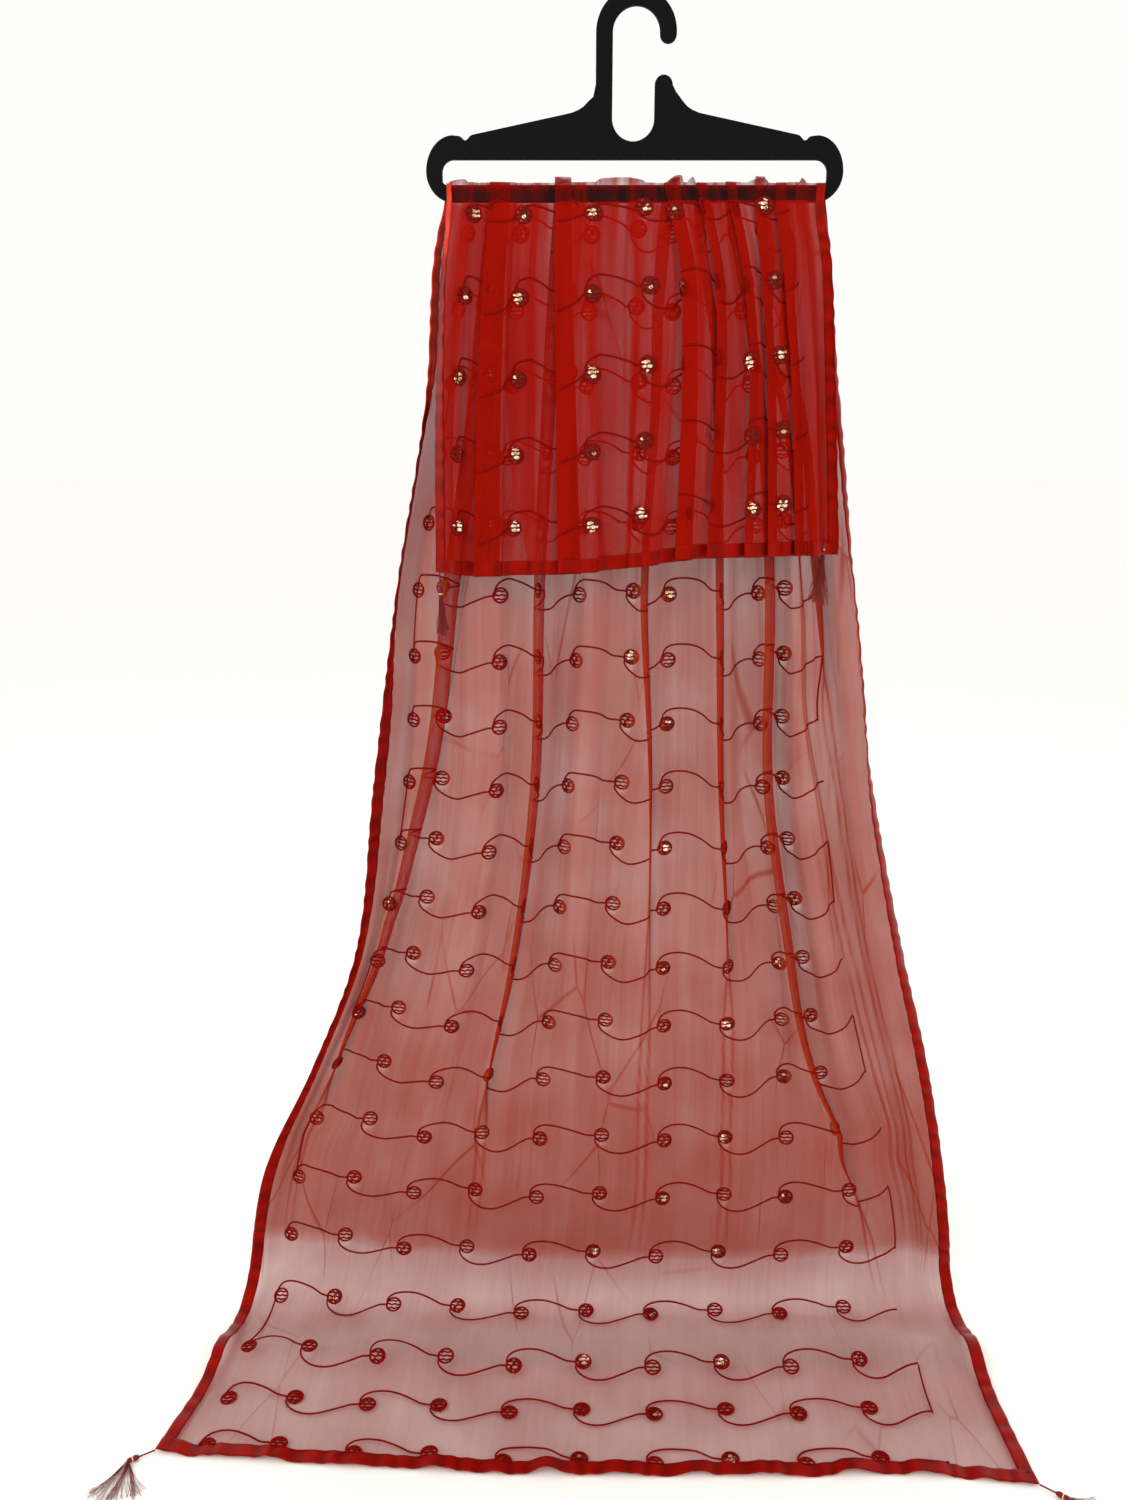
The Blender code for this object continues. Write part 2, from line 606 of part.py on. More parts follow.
def hanger_outline():
    """Outer outline, anticlockwise from the right end: end loop, notch, prong, slot, hook, stem, notch."""
    h = HANGER
    right = arc(h["end_x"], h["end_z"], h["end_radius"], -90, 0, 9)
    rise = h["end_rise"] / h["end_radius"]
    over = arc(h["end_x"], 0.0, h["end_radius"], 12, 86, 7)
    right += [(x, h["end_z"] + z * rise) for x, z in over]
    for share, depth in NOTCH_SHAPE:
        right.append((h["notch_x"] + share * h["notch_half"], h["notch_z"] + depth * h["notch_depth"]))
    right += [(h["neck_x"] + 4, h["neck_z"] - 0.8), (h["neck_x"] - 8, h["neck_z"] + 2.8),
              (h["neck_x"] - 17, h["neck_z"] + 9.8)]
    prong_radius = (h["prong_right"] - h["slot_right"]) / 2
    prong = [(h["prong_right"] + 3.0, h["prong_top"] - 14.0)]
    prong += arc(h["slot_right"] + prong_radius, h["prong_top"] - prong_radius, prong_radius, 0, 180, 9)
    slot_radius = (h["slot_right"] - h["slot_left"]) / 2
    slot = arc(h["slot_left"] + slot_radius, h["slot_z"], slot_radius, 0, -180, 13)
    inner = arc(0.0, h["hook_z"], h["hook_inner"], 180, 0, 15)
    tip_radius = (h["hook_outer"] - h["hook_inner"]) / 2
    tip = arc(h["hook_inner"] + tip_radius, h["tip_z"] + 3.0, tip_radius, 180, 360, 9)
    outer = arc(0.0, h["hook_z"], h["hook_outer"], 0, 180, 19)
    stem = [(-h["stem_x"], h["neck_z"] + 25.0), (-h["stem_x"] - 2.4, h["neck_z"] + 14.0)]
    left = [(-x, z) for x, z in reversed(right)]
    return right + prong + slot + inner + tip + outer + stem + left


def extruded(name, outline, half_thickness):
    """A flat plate with the given outline in x and z, as a closed mesh."""
    count = len(outline)
    sides = (-half_thickness, half_thickness)
    verts = [(x / 1000.0, y, z / 1000.0 + BAR_LINE) for y in sides for x, z in outline]
    faces = [tuple(range(count)), tuple(range(2 * count - 1, count - 1, -1))]
    for k in range(count):
        n = (k + 1) % count
        faces.append((n, k, k + count, n + count))
    return add_object(name, verts, faces, "hanger")


def build_hanger():
    h = HANGER
    body = extruded("hanger", hanger_outline(), BAR_HALF_THICKNESS)
    end = h["end_x"] + h["gap_radius"]
    corner = h["gap_corner"]
    gap = arc(end - corner, h["end_z"] - h["gap_radius"] + corner, corner, -90, 0, 5)
    gap += arc(h["end_x"], h["end_z"], h["gap_radius"], 0, 90, 7)
    gap += [(-x, z) for x, z in reversed(gap)]
    cutter = extruded("hanger_gap_cutter", gap, BAR_HALF_THICKNESS * 4)
    cutter.hide_render = True
    cutter.hide_viewport = False
    cutter.display_type = "WIRE"
    cut = body.modifiers.new("gap", "BOOLEAN")
    cut.operation = "DIFFERENCE"
    cut.solver = "EXACT"
    cut.object = cutter
    bevel = body.modifiers.new("edge", "BEVEL")
    bevel.width = HANGER_BEVEL
    bevel.segments = 1
    bevel.limit_method = "ANGLE"
    bevel.angle_limit = math.radians(60)
    return body


clear_scene()
build_hanger()
build_net()
build_borders()
for tassel_name, tassel_spec in TASSELS.items():
    build_tassel(tassel_name, tassel_spec)
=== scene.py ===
import math

import bpy
import numpy as np
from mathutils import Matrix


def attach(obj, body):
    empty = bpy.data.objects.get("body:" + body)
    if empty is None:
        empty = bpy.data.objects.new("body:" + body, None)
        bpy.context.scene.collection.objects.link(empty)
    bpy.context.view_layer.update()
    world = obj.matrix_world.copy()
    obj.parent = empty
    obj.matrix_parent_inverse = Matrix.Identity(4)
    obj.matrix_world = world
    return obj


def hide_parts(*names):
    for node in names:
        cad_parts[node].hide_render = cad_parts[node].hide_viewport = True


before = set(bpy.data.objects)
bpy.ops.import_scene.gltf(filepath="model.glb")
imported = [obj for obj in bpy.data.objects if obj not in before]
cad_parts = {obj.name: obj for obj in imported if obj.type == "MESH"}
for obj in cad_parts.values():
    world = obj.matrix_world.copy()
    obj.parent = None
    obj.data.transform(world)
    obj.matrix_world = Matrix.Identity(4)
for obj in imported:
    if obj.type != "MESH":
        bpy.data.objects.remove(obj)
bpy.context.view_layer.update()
print("stage: frame loaded")

# The cloth's cut sizes and its fall, in metres, as the CAD model has them, and how its net lies.
# u runs across the flat cloth from the left edge; v runs along it from the bar, negative down the front flap
cloth = {
    "width": 0.890,
    "flapLength": 0.364,
    "fallLength": 1.488,
    "ribbon": 0.0145,
    "barFront": -0.0085,
    "barBack": 0.0085,
    "floorStart": 1.190,
    "barLine": -0.151,
    "floor": -1.367,
    "skewStart": 0.200,
    "crinkle": 0.015,
    "wrapRadius": 0.0048,
    "bendRadius": 0.002,
    "leastBand": 0.010,
    "foldMargin": 0.0035,
    "seamReach": 0.012,
    "mostSqueeze": 0.6,
    "waveLength": 0.098,
    "gatherLength": 0.037,
    "steepest": 1.25,
    "fineStep": 0.0005,
    "waveSway": (0.9, 0.37),  # swing of a wave's phase in radians, and the length that it takes
    "gatherSway": (1.2, 0.21),
    "fallSway": (0.6, 3.1),  # swing in radians, and its pace down the cloth in radians a metre
    "uneven": 0.00045,
    "barReach": 0.030,  # how far from the bar its rounding fades
    "puffReach": 0.018,
    "puffPower": 0.7,  # below 1 gives a puff a flatter top
    "barWindow": 17,  # columns of fineU in each running mean that rounds it
    "barRound": 0.9,  # share of the rounding, and share of the depth that it takes off
    "barFlat": 0.85,
    "endReach": 0.035,  # width at both ends of the bar where the cloth lies flatter, and by what share
    "endFlat": 0.9,
    "levelDegree": 5,  # of the curve that is taken off the depth, so that it keeps to the side line
    "creaseStart": 0.020,
    "creaseGrow": 0.050,
    "reachStart": 1.000,
    "reachGrow": 0.450,
    "rippleReach": 0.080,
    "mostLayers": 3.0,  # most layers' worth of net that gathers make
    "hiddenLayers": 0.85,  # layers' worth of net in a fold's layers
    "edgeLayers": 1.6,  # how much denser, as a share, its edge is
    "foldPaintedLight": 1.3,  # share of painted light, a brighter thread red, that a fold's layers and edges add, held to 1
}
columnU = (0.0, 0.057, 0.207, 0.357, 0.507, 0.657, 0.732, cloth["width"])

# v, then x of those columns in millimetres once the cloth hangs
hungRows = np.array([
    (-0.356, -199, -177, -121, -40, 62, 124, 155, 212),
    (-0.190, -195, -171, -114, -40, 54, 114, 145, 199),
    (-0.090, -188, -162, -110, -40, 45, 106, 134, 190),
    (0.000, -180, -153, -106, -39, 36, 97, 123, 180),
    (0.070, -194, -166, -112, -41, 39, 104, 131, 195),
    (0.190, -205, -183, -120, -44, 44, 120, 150, 212),
    (0.405, -243, -221, -134, -51, 44, 138, 166, 241),
    (0.620, -273, -238, -141, -63, 45, 150, 176, 275),
    (0.834, -305, -283, -177, -78, 45, 178, 206, 320),
    (0.977, -358, -342, -214, -92, 49, 189, 231, 354),
    (1.120, -418, -378, -243, -100, 48, 192, 266, 378),
    (1.263, -440, -398, -265, -117, 32, 181, 256, 388),
    (1.406, -456, -420, -272, -124, 26, 175, 250, 387),
    (1.488, -474, -426, -277, -128, 21, 170, 244, 390),
])

# Folds in three layers: where each lies and how wide its band is, in millimetres, at the distances in foldV
foldV = (-0.356, 0.0, 0.190, 0.405, 0.620, 0.834, 0.977, 1.120, 1.263)
folds = {
    "leftWide": {
        "u": (139, 130, 125, 120, 98, 70, 58, 50, 50),
        "band": (28, 22, 22, 21, 18, 13, 7, 0, 0),
    },
    "leftInner": {
        "u": (308, 292, 285, 280, 284, 284, 280, 284, 284),
        "band": (26, 18, 17, 14, 13, 10, 6, 0, 0),
    },
    "middle": {
        "u": (515, 490, 466, 457, 478, 485, 480, 480, 480),
        "band": (20, 16, 12, 10, 7, 4, 0, 0, 0),
    },
    "rightInner": {
        "u": (578, 580, 583, 583, 583, 584, 583, 583, 583),
        "band": (14, 12, 11, 10, 8, 5, 0, 0, 0),
    },
    "rightWide": {
        "u": (640, 662, 683, 692, 676, 692, 714, 744, 788),
        "band": (12, 12, 12, 12, 12, 12, 10, 6, 0),
    },
    "rightSlim": {
        "u": (700, 718, 742, 765, 790, 812, 820, 825, 830),
        "band": (13, 11, 9, 5, 4, 0, 0, 0, 0),
    },
    "rightMargin": {
        "u": (775, 775, 788, 805, 822, 835, 843, 845, 850),
        "band": (13, 12, 12, 9, 0, 0, 0, 0, 0),
    },
}

# A fold's edges, in metres: the width of their line, of the soft border of what the fold holds and of the
# sharp one of its layers, and the bands from which it holds and lies in layers. A faint line runs on below
foldEdge = {
    "line": 0.0014,
    "soft": 0.004,
    "sharp": 0.0012,
    "heldFrom": 0.005,
    "layersFrom": 0.006,
    "layersGrow": 0.004,
    "faint": 0.3,
    "faintUntil": 1.2,
    "faintFade": 0.1,
}

# v, slope of the small gathers, share of wave depth and of fold depth left, side that lies on the fall line
waveRows = np.array([
    (-0.356, 0.35, 0.34, 1.00, 0.45),
    (-0.190, 0.45, 0.36, 1.00, 0.40),
    (-0.045, 0.70, 0.15, 0.75, 0.00),
    (0.000, 0.80, 0.13, 0.72, 0.00),
    (0.045, 0.70, 0.15, 0.75, 0.00),
    (0.200, 0.35, 0.50, 1.00, 0.35),
    (0.400, 0.10, 0.66, 1.00, 0.50),
    (0.700, 0.00, 0.72, 1.00, 0.50),
    (1.050, 0.00, 0.60, 1.00, 0.55),
    (1.190, 0.00, 0.40, 1.00, 0.90),
    (1.260, 0.00, 0.30, 1.00, 1.00),
    (1.488, 0.00, 0.24, 1.00, 1.00),
])

# Side view, y and height from the bar line
flapLine = [(-0.018, -0.420), (-0.0165, -0.260), (-0.0135, -0.140), (-0.0085, -0.050), (-0.0050, -0.021)]
fallLine = [
    (0.0050, -0.021), (0.0070, -0.050), (0.014, -0.130), (0.018, -0.260), (0.016, -0.500), (0.010, -0.750),
    (0.001, -0.930), (-0.009, -1.060), (-0.019, -1.140), (-0.034, -1.187), (-0.060, -1.2115),
    (-0.090, -1.2150), (-0.112, -1.2085), (-0.134, -1.2000), (-0.156, -1.2080), (-0.180, -1.2148),
    (-0.215, -1.2153), (-0.260, -1.2153), (-0.370, -1.2153),
]


def clamp(values):
    # Values held between 0 and 1
    return np.clip(values, 0.0, 1.0)


def unit(vectors):
    # The same directions at length 1
    return vectors / np.maximum(np.linalg.norm(vectors, axis=-1, keepdims=True), 1e-12)


def smoothCurve(knots, values, at):
    # Cubic Hermite curve: each stretch joins two values with the slopes that their neighbours give
    knots = np.asarray(knots, float)
    values = np.asarray(values, float)
    slopes = np.gradient(values, knots, axis=0)
    at = np.clip(np.asarray(at, float), knots[0], knots[-1])
    cell = np.clip(np.searchsorted(knots, at, side="right") - 1, 0, len(knots) - 2)
    width = knots[cell + 1] - knots[cell]
    share = (at - knots[cell]) / width
    if values.ndim > 1:
        width, share = width[:, None], share[:, None]
    rise = share * share * (3 - 2 * share)
    start = share * (1 - share) ** 2 * width
    end = share * share * (share - 1) * width
    return values[cell] * (1 - rise) + values[cell + 1] * rise + slopes[cell] * start + slopes[cell + 1] * end


def smoothPath(points):
    # The same curve through points of the plane, with the distance between them as its parameter
    points = np.asarray(points, float)
    knots = np.concatenate([[0.0], np.cumsum(np.linalg.norm(np.diff(points, axis=0), axis=1))])
    return smoothCurve(knots, points, np.linspace(0.0, knots[-1], 60 * len(points)))


def sideLine():
    # Flap line, half circle of wrapRadius over the bar and fall line, with the distance v along them
    angles = np.linspace(math.pi, 0.0, 17)
    radius = cloth["wrapRadius"]
    arc = np.column_stack([radius * np.cos(angles), radius * (np.sin(angles) - 1)])
    front = smoothPath(flapLine + [tuple(arc[0])])
    back = smoothPath([tuple(arc[-1])] + fallLine)
    path = np.vstack([front[:-1], arc, back[1:]])
    length = np.concatenate([[0.0], np.cumsum(np.linalg.norm(np.diff(path, axis=0), axis=1))])
    return length - length[len(front) - 1 + len(arc) // 2], path


lineV, lineYZ = sideLine()
fineU = np.arange(0.0, cloth["width"] + cloth["fineStep"] / 2, cloth["fineStep"])
bendLength = math.pi * cloth["bendRadius"]


def hungColumns(v):
    # x of the columns in columnU at each distance v, on smooth curves through hungRows
    return smoothCurve(hungRows[:, 0], hungRows[:, 1:] / 1000.0, v)


def foldTurn(v):
    # Each fold adds half a turn at its first bend and takes it off at the second; a narrow one turns less.
    # held is 1 where the cloth lies in a fold's layers and falls softly to 0 round it and at its ends.
    # layered is 1 only where layers lie over each other, and edged along the edges, which run on as creases
    places, bands = (smoothCurve(foldV, np.array([fold[key] for fold in folds.values()], float).T / 1000.0, v)
                     for key in ("u", "band"))
    bands = np.maximum(bands, 0.0)
    turn = np.zeros((len(v), len(fineU)))
    held, bending, layered, edged = (np.zeros_like(turn) for _ in range(4))
    faint = foldEdge["faint"] * clamp((foldEdge["faintUntil"] - v) / foldEdge["faintFade"])[:, None]
    for place, band in zip(places.T, bands.T):
        offset = fineU[None, :] - place[:, None]
        away = np.abs(offset)
        half = np.maximum(band, cloth["leastBand"])[:, None] / 2
        most = clamp(band / cloth["leastBand"])[:, None]
        first = clamp((offset + half) / bendLength + 0.5)
        second = clamp((offset - half) / bendLength + 0.5)
        turn += most * (first - second)
        bending += most * np.exp(-((away - half) / bendLength) ** 2)
        edged += np.maximum(most, faint) * np.exp(-((away - half) / foldEdge["line"]) ** 2)
        reach = 3 * half - bendLength / 2 + cloth["foldMargin"]
        near = clamp((reach - away) / foldEdge["soft"] + 0.5) * clamp(band / foldEdge["heldFrom"])[:, None]
        held = np.maximum(held, near)
        inside = clamp((3 * half - bendLength - away) / foldEdge["sharp"] + 0.5)
        grown = clamp((band - foldEdge["layersFrom"]) / foldEdge["layersGrow"])[:, None]
        layered = np.maximum(layered, inside * grown)
    return turn, held, bending, layered, edged


def swayed(length, swing, over):
    # Phase of a wave across the flat width that runs ahead and lags by swing radians, over each such stretch
    return 2 * math.pi * fineU / length + swing * np.sin(2 * math.pi * fineU / over)


def crossSections(v):
    # x and depth over the flat width: the slope angle is a soft wave between the folds, steep enough to bring
    # the flat width into the hung one, and goes right round inside the folds; x and depth are its sums.
    # A wave whose steepest angle is a brings the width down to about (1 - a * a / 8) squared of the flat one
    gather, waveShare, foldShare, side = smoothCurve(waveRows[:, 0], waveRows[:, 1:], v).T
    turn, held, bending, layered, edged = foldTurn(v)
    free = 1.0 - held
    step = cloth["fineStep"]
    columns = hungColumns(v)
    wanted = np.diff(columns, axis=1)
    marks = np.searchsorted(fineU, np.array(columnU) - step / 2)
    marks[-1] = len(fineU)
    parts = [slice(a, b) for a, b in zip(marks[:-1], marks[1:])]
    folded = np.cos(math.pi * turn) * held * step
    ratio = np.array([(wanted[:, i] - folded[:, part].sum(axis=1)) / (free[:, part].sum(axis=1) * step)
                      for i, part in enumerate(parts)]).T
    ratio = np.clip(ratio / (1.0 - gather[:, None] ** 2 / 4), 0.2, 1.0)
    centres = (np.array(columnU[:-1]) + np.array(columnU[1:])) / 2
    slope = np.array([np.interp(fineU, centres, row) for row in 2.0 * np.sqrt(2.0 * (1.0 - np.sqrt(ratio)))])
    swing, pace = cloth["fallSway"]
    wave = swayed(cloth["waveLength"], *cloth["waveSway"])[None, :] + swing * np.sin(pace * v)[:, None]
    small = swayed(cloth["gatherLength"], *cloth["gatherSway"])
    seam = np.minimum(np.abs(fineU - cloth["ribbon"]), np.abs(cloth["width"] - cloth["ribbon"] - fineU))
    still = clamp(0.1 + seam / cloth["seamReach"])
    angle = (slope * np.sin(wave) + gather[:, None] * np.sin(small)[None, :]) * still
    angle = held * math.pi * turn + free * np.clip(angle, -cloth["steepest"], cloth["steepest"])
    across = np.cos(angle) * step
    owed = np.zeros(len(v))
    for i, part in enumerate(parts):
        fixed = (across[:, part] * held[:, part]).sum(axis=1)
        loose = across[:, part] * free[:, part]
        give = loose * clamp(seam[part] / cloth["seamReach"] - 0.25)
        room = give.sum(axis=1)
        need = (wanted[:, i] - owed - fixed - loose.sum(axis=1)) / room
        squeeze = np.maximum(need, -cloth["mostSqueeze"])
        across[:, part] += give * squeeze[:, None]
        owed = (squeeze - need) * room
    x = columns[:, :1] + np.cumsum(across, axis=1) - across
    share = held * foldShare[:, None] + free * waveShare[:, None]
    depth = np.cumsum(np.sin(angle) * share * step, axis=1)
    for place, row in zip(x / cloth["width"], depth):
        row -= np.polyval(np.polyfit(place, row, cloth["levelDegree"]), place)
    low = depth.min(axis=1, keepdims=True)
    high = depth.max(axis=1, keepdims=True)
    return x, depth - low - side[:, None] * (high - low), bending, layered, edged, across


def lostLength(v):
    # Length along the fall line that a column loses because it also runs sideways, spread over the flat width
    dense = np.linspace(-cloth["flapLength"], cloth["fallLength"], 200)
    slope = np.gradient(hungColumns(dense), dense, axis=0)
    total = np.cumsum(1.0 - np.sqrt(clamp(1.0 - slope ** 2)), axis=0) * (dense[1] - dense[0])
    total -= np.array([np.interp(0.0, dense, column) for column in total.T])
    lost = np.array([np.interp(v, dense, column) for column in total.T]).T
    hats = np.array([np.interp(fineU, columnU, row) for row in np.eye(len(columnU))])
    return lost @ hats


# Creases that cross the hung cloth, in millimetres: x and v of both ends, width and depth
creases = np.array([
    (-60, 470, 70, 560, 5, -0.9), (-95, 640, -10, 700, 6, 0.8), (10, 520, 80, 610, 5, -0.8),
    (85, 430, 160, 520, 6, 0.9), (-150, 520, -90, 590, 5, -0.8), (60, 700, 170, 800, 7, 1.0),
    (-240, 800, -120, 900, 8, 1.1), (-120, 760, -40, 870, 7, -0.9), (-20, 860, 110, 960, 8, 1.0),
    (130, 880, 250, 980, 8, -1.1), (-300, 930, -180, 1040, 9, 1.2), (-180, 1000, -40, 1090, 9, -1.1),
    (20, 1010, 160, 1090, 9, 1.0), (180, 1020, 330, 1120, 9, 1.2), (-370, 1060, -240, 1150, 10, -1.2),
    (-110, 1130, 60, 1190, 9, 0.9), (90, 1150, 300, 1210, 10, -1.1), (-400, 1200, -180, 1230, 11, 1.4),
    (-150, 1230, 150, 1245, 10, -1.2), (120, 1260, 370, 1240, 11, 1.3), (-430, 1330, -120, 1310, 12, 1.3),
    (-60, 1340, 240, 1320, 11, 1.2), (-380, 1400, -150, 1385, 12, -1.2), (40, 1410, 330, 1390, 12, -1.1),
    (-150, -90, -90, -160, 4, 0.8), (-60, -200, 30, -270, 5, -0.8), (50, -120, 120, -190, 5, 0.8),
    (-130, 210, -60, 290, 5, 0.8), (20, 180, 110, 260, 5, -0.8), (-90, 330, 20, 420, 6, 0.9),
], float)


def creaseDepth(x, v):
    # Sum of soft ridges and troughs: each is a bell across its line that dies out towards the line's ends.
    # Waves over both directions make the rest a little uneven
    total = np.zeros_like(x)
    for x0, v0, x1, v1, width, depth in creases / 1000.0:
        along = np.array([x1 - x0, v1 - v0])
        length = np.linalg.norm(along)
        along /= length
        dx, dv = x - x0, v - v0
        share = (dx * along[0] + dv * along[1]) / length
        off = (dv * along[0] - dx * along[1]) / width
        near = clamp(4 * share * (1 - share))
        total += depth * near * np.exp(-off ** 2)
    uneven = np.sin(61 * x + 23 * v) * np.sin(37 * v - 19 * x + 1.3) + 0.6 * np.sin(97 * v + 41 * x + 0.7)
    return total + cloth["uneven"] * uneven


# How many rows of points each stretch has, and where the fall's closer rows end
rowCounts = {"ribbon": 7, "flap": 126, "bar": 19, "upperFall": 34, "fall": 265, "floor": 96}
upperEnd = 0.10


def rowPlaces():
    # Distances v of the cloth's rows: close over the bar, further apart down the fall
    edge = cloth["ribbon"]
    flapHem = cloth["flapLength"] - edge
    hem = cloth["fallLength"] - edge
    return {
        "flapRibbon": np.linspace(-cloth["flapLength"], -flapHem, rowCounts["ribbon"]),
        "flap": np.linspace(-flapHem, cloth["barFront"], rowCounts["flap"]),
        "bar": np.linspace(cloth["barFront"], cloth["barBack"], rowCounts["bar"]),
        "fall": np.concatenate([np.linspace(cloth["barBack"], upperEnd, rowCounts["upperFall"])[:-1],
                                np.linspace(upperEnd, cloth["floorStart"], rowCounts["fall"])]),
        "floor": np.linspace(cloth["floorStart"], hem, rowCounts["floor"]),
        "hemRibbon": np.linspace(hem, cloth["fallLength"], rowCounts["ribbon"]),
    }


rowsOf = rowPlaces()
sheetV = np.unique(np.concatenate(list(rowsOf.values())))


# How much further the flap's hem hangs at flat places across it: metres, then millimetres
flapDrop = (
    (0.0, 0.11, 0.26, 0.36, 0.45, 0.52, 0.60, 0.75, 0.89),
    (8.5, 12.5, 10.0, 7.0, 1.0, -5.0, -6.5, -7.5, -9.0),
)

# How much further forward the hem on the floor is pulled: the same two rows
hemReach = (
    (0.0, 0.04, 0.10, 0.25, 0.40, 0.55, 0.70, 0.80, 0.89),
    (8.0, 9.0, 5.0, 0.0, -1.0, 0.0, 6.0, 14.0, 28.0),
)

# Puffs of net that stand up over the bar: flat place, half width and height in millimetres
puffs = {
    "leftEnd": {"u": 24, "half": 13, "height": 3.0},
    "left": {"u": 293, "half": 24, "height": 5.0},
    "middle": {"u": 400, "half": 40, "height": 4.5},
    "middleRight": {"u": 481, "half": 12, "height": 5.5},
    "stem": {"u": 514, "half": 11, "height": 6.5},
    "stemRight": {"u": 549, "half": 12, "height": 5.0},
    "right": {"u": 718, "half": 22, "height": 5.5},
    "rightEnd": {"u": 846, "half": 16, "height": 4.0},
}

# v, how strongly dense and sheer stripes differ, and how dense the net is for its gathering
stripeRows = np.array([
    (-0.364, 0.10, 1.32),
    (-0.060, 0.12, 1.42),
    (-0.030, 0.16, 1.65),
    (-0.0215, 0.30, 1.60),
    (-0.0195, 0.60, 0.07),
    (-0.010, 0.60, 0.05),
    (-0.004, 0.40, 0.55),
    (0.004, 0.40, 0.60),
    (0.010, 0.60, 0.07),
    (0.0165, 0.60, 0.09),
    (0.020, 0.30, 1.25),
    (0.100, 0.08, 1.45),
    (0.300, 0.06, 1.54),
    (0.360, 0.06, 1.70),
    (0.450, 0.05, 1.63),
    (0.600, 0.04, 1.70),
    (0.900, 0.04, 1.98),
    (1.090, 0.03, 2.12),
    (1.180, 0.03, 2.06),
    (1.198, 0.02, 1.12),
    (1.230, 0.02, 0.84),
    (1.265, 0.02, 0.72),
    (1.300, 0.02, 0.62),
    (1.488, 0.02, 0.56),
])


# Pleats of the flap pressed flat: both edges at the bar, both at the hem (flat, in millimetres) and the
# layers of net that each adds
pleats = np.array([
    (16, 54, 16, 36, 0.8), (102, 132, 64, 100, 0.6), (150, 236, 226, 242, 0.8),
    (284, 330, 286, 332, 0.5), (334, 346, 372, 384, 0.8), (404, 424, 410, 419, 0.8),
    (434, 450, 446, 458, 0.5), (486, 530, 512, 547, 0.6), (588, 594, 572, 577, 0.7),
    (694, 706, 706, 722, 0.5), (760, 788, 768, 784, 0.5), (822, 876, 842, 876, 1.1),
], float)

pleatLook = {
    "wander": (1.6, 0.9),  # two slow waves of their edges, in millimetres
    "border": 3,  # soft border, in millimetres
    "line": 0.9,  # thin line along each edge, in millimetres
    "lineLayers": 0.32,
    "slide": (0.32, 0.25),  # how unevenly the layers lie, along and across
    "layers": 1.05,
    "start": 0.021,  # metres below the bar's top where the pleats show in full
    "startFade": 0.003,
    "overBar": 0.16,  # share of them that shows over the bar, down to barEnd behind it
    "barEnd": 0.004,
}


def pleatLayers():
    # Each pleat's layers between its edges, which run straight from the bar to the hem, wander a little and
    # have soft borders, and a thin denser line along each edge, where the net turns back. The layers slide
    # on one another, so that each pleat is denser here and lighter there
    v = sheetV[:, None]
    share = clamp(-v / cloth["flapLength"])
    slow, quick = pleatLook["wander"]
    u = fineU * 1000.0 + slow * np.sin(19.0 * v) + quick * np.sin(43.0 * v + 1.0)
    along, across = pleatLook["slide"]
    border = pleatLook["border"]
    total = np.zeros(u.shape)
    for k, (top0, top1, low0, low1, layers) in enumerate(pleats):
        left = top0 + (low0 - top0) * share
        right = top1 + (low1 - top1) * share
        slide = 1.0 + along * np.sin(17.0 * v + 2.3 * k) + across * np.sin(0.31 * u + k)
        total += slide * layers * clamp((u - left) / border + 0.5) * clamp((right - u) / border + 0.5)
        for edge in (left, right):
            total += pleatLook["lineLayers"] * np.exp(-((u - edge) / pleatLook["line"]) ** 2)
    below = clamp((-v - pleatLook["start"]) / pleatLook["startFade"])
    overBar = pleatLook["overBar"] * (1.0 - below) * (v < pleatLook["barEnd"])
    return pleatLook["layers"] * total * (below + overBar)


# Waves of the stripes: length in metres, weight and phase
stripeWaves = (
    (0.083, 0.45, 0.4),
    (0.047, 0.55, 2.1),
    (0.029, 0.55, 4.0),
    (0.0173, 0.50, 1.2),
    (0.0107, 0.35, 5.1),
)


def stripes():
    # Layers' worth of net, from fine gathers too small to model: waves across the flat width, whose places
    # wander down the cloth, as the exponent of a power
    strength, dense = (np.interp(sheetV, stripeRows[:, 0], stripeRows[:, k])[:, None] for k in (1, 2))
    v = sheetV[:, None]
    total = np.zeros((len(sheetV), len(fineU)))
    for length, weight, phase in stripeWaves:
        wander = 0.12 * length * np.sin(7.0 * v + phase) + 0.3 * length * np.sin(2.3 * v + 2 * phase)
        total += weight * np.sin(2 * math.pi * (fineU + wander) / length + phase)
    return np.exp(strength * total) * dense


# v, and how far the left and the right ribbon turn back about their seams, in degrees
ribbonTurns = np.array([
    (-0.364, 0, 0), (0.160, 0, 0), (0.235, 62, 0), (0.330, 72, 30), (0.420, 70, 72), (0.480, 45, 74),
    (0.540, 10, 70), (0.600, 0, 45), (0.660, 0, 8), (0.720, 0, 0), (1.488, 0, 0),
])

# Ripples of the hem on the floor: flat place, half width and height in millimetres
ripples = np.array([
    (60, 22, 3.5), (128, 13, 5.0), (205, 26, 2.5), (292, 15, 5.0), (352, 11, 3.5), (402, 15, 8.0),
    (470, 22, 3.5), (548, 14, 6.0), (618, 24, 3.0), (700, 14, 6.0), (772, 17, 4.0), (838, 12, 5.0),
], float)


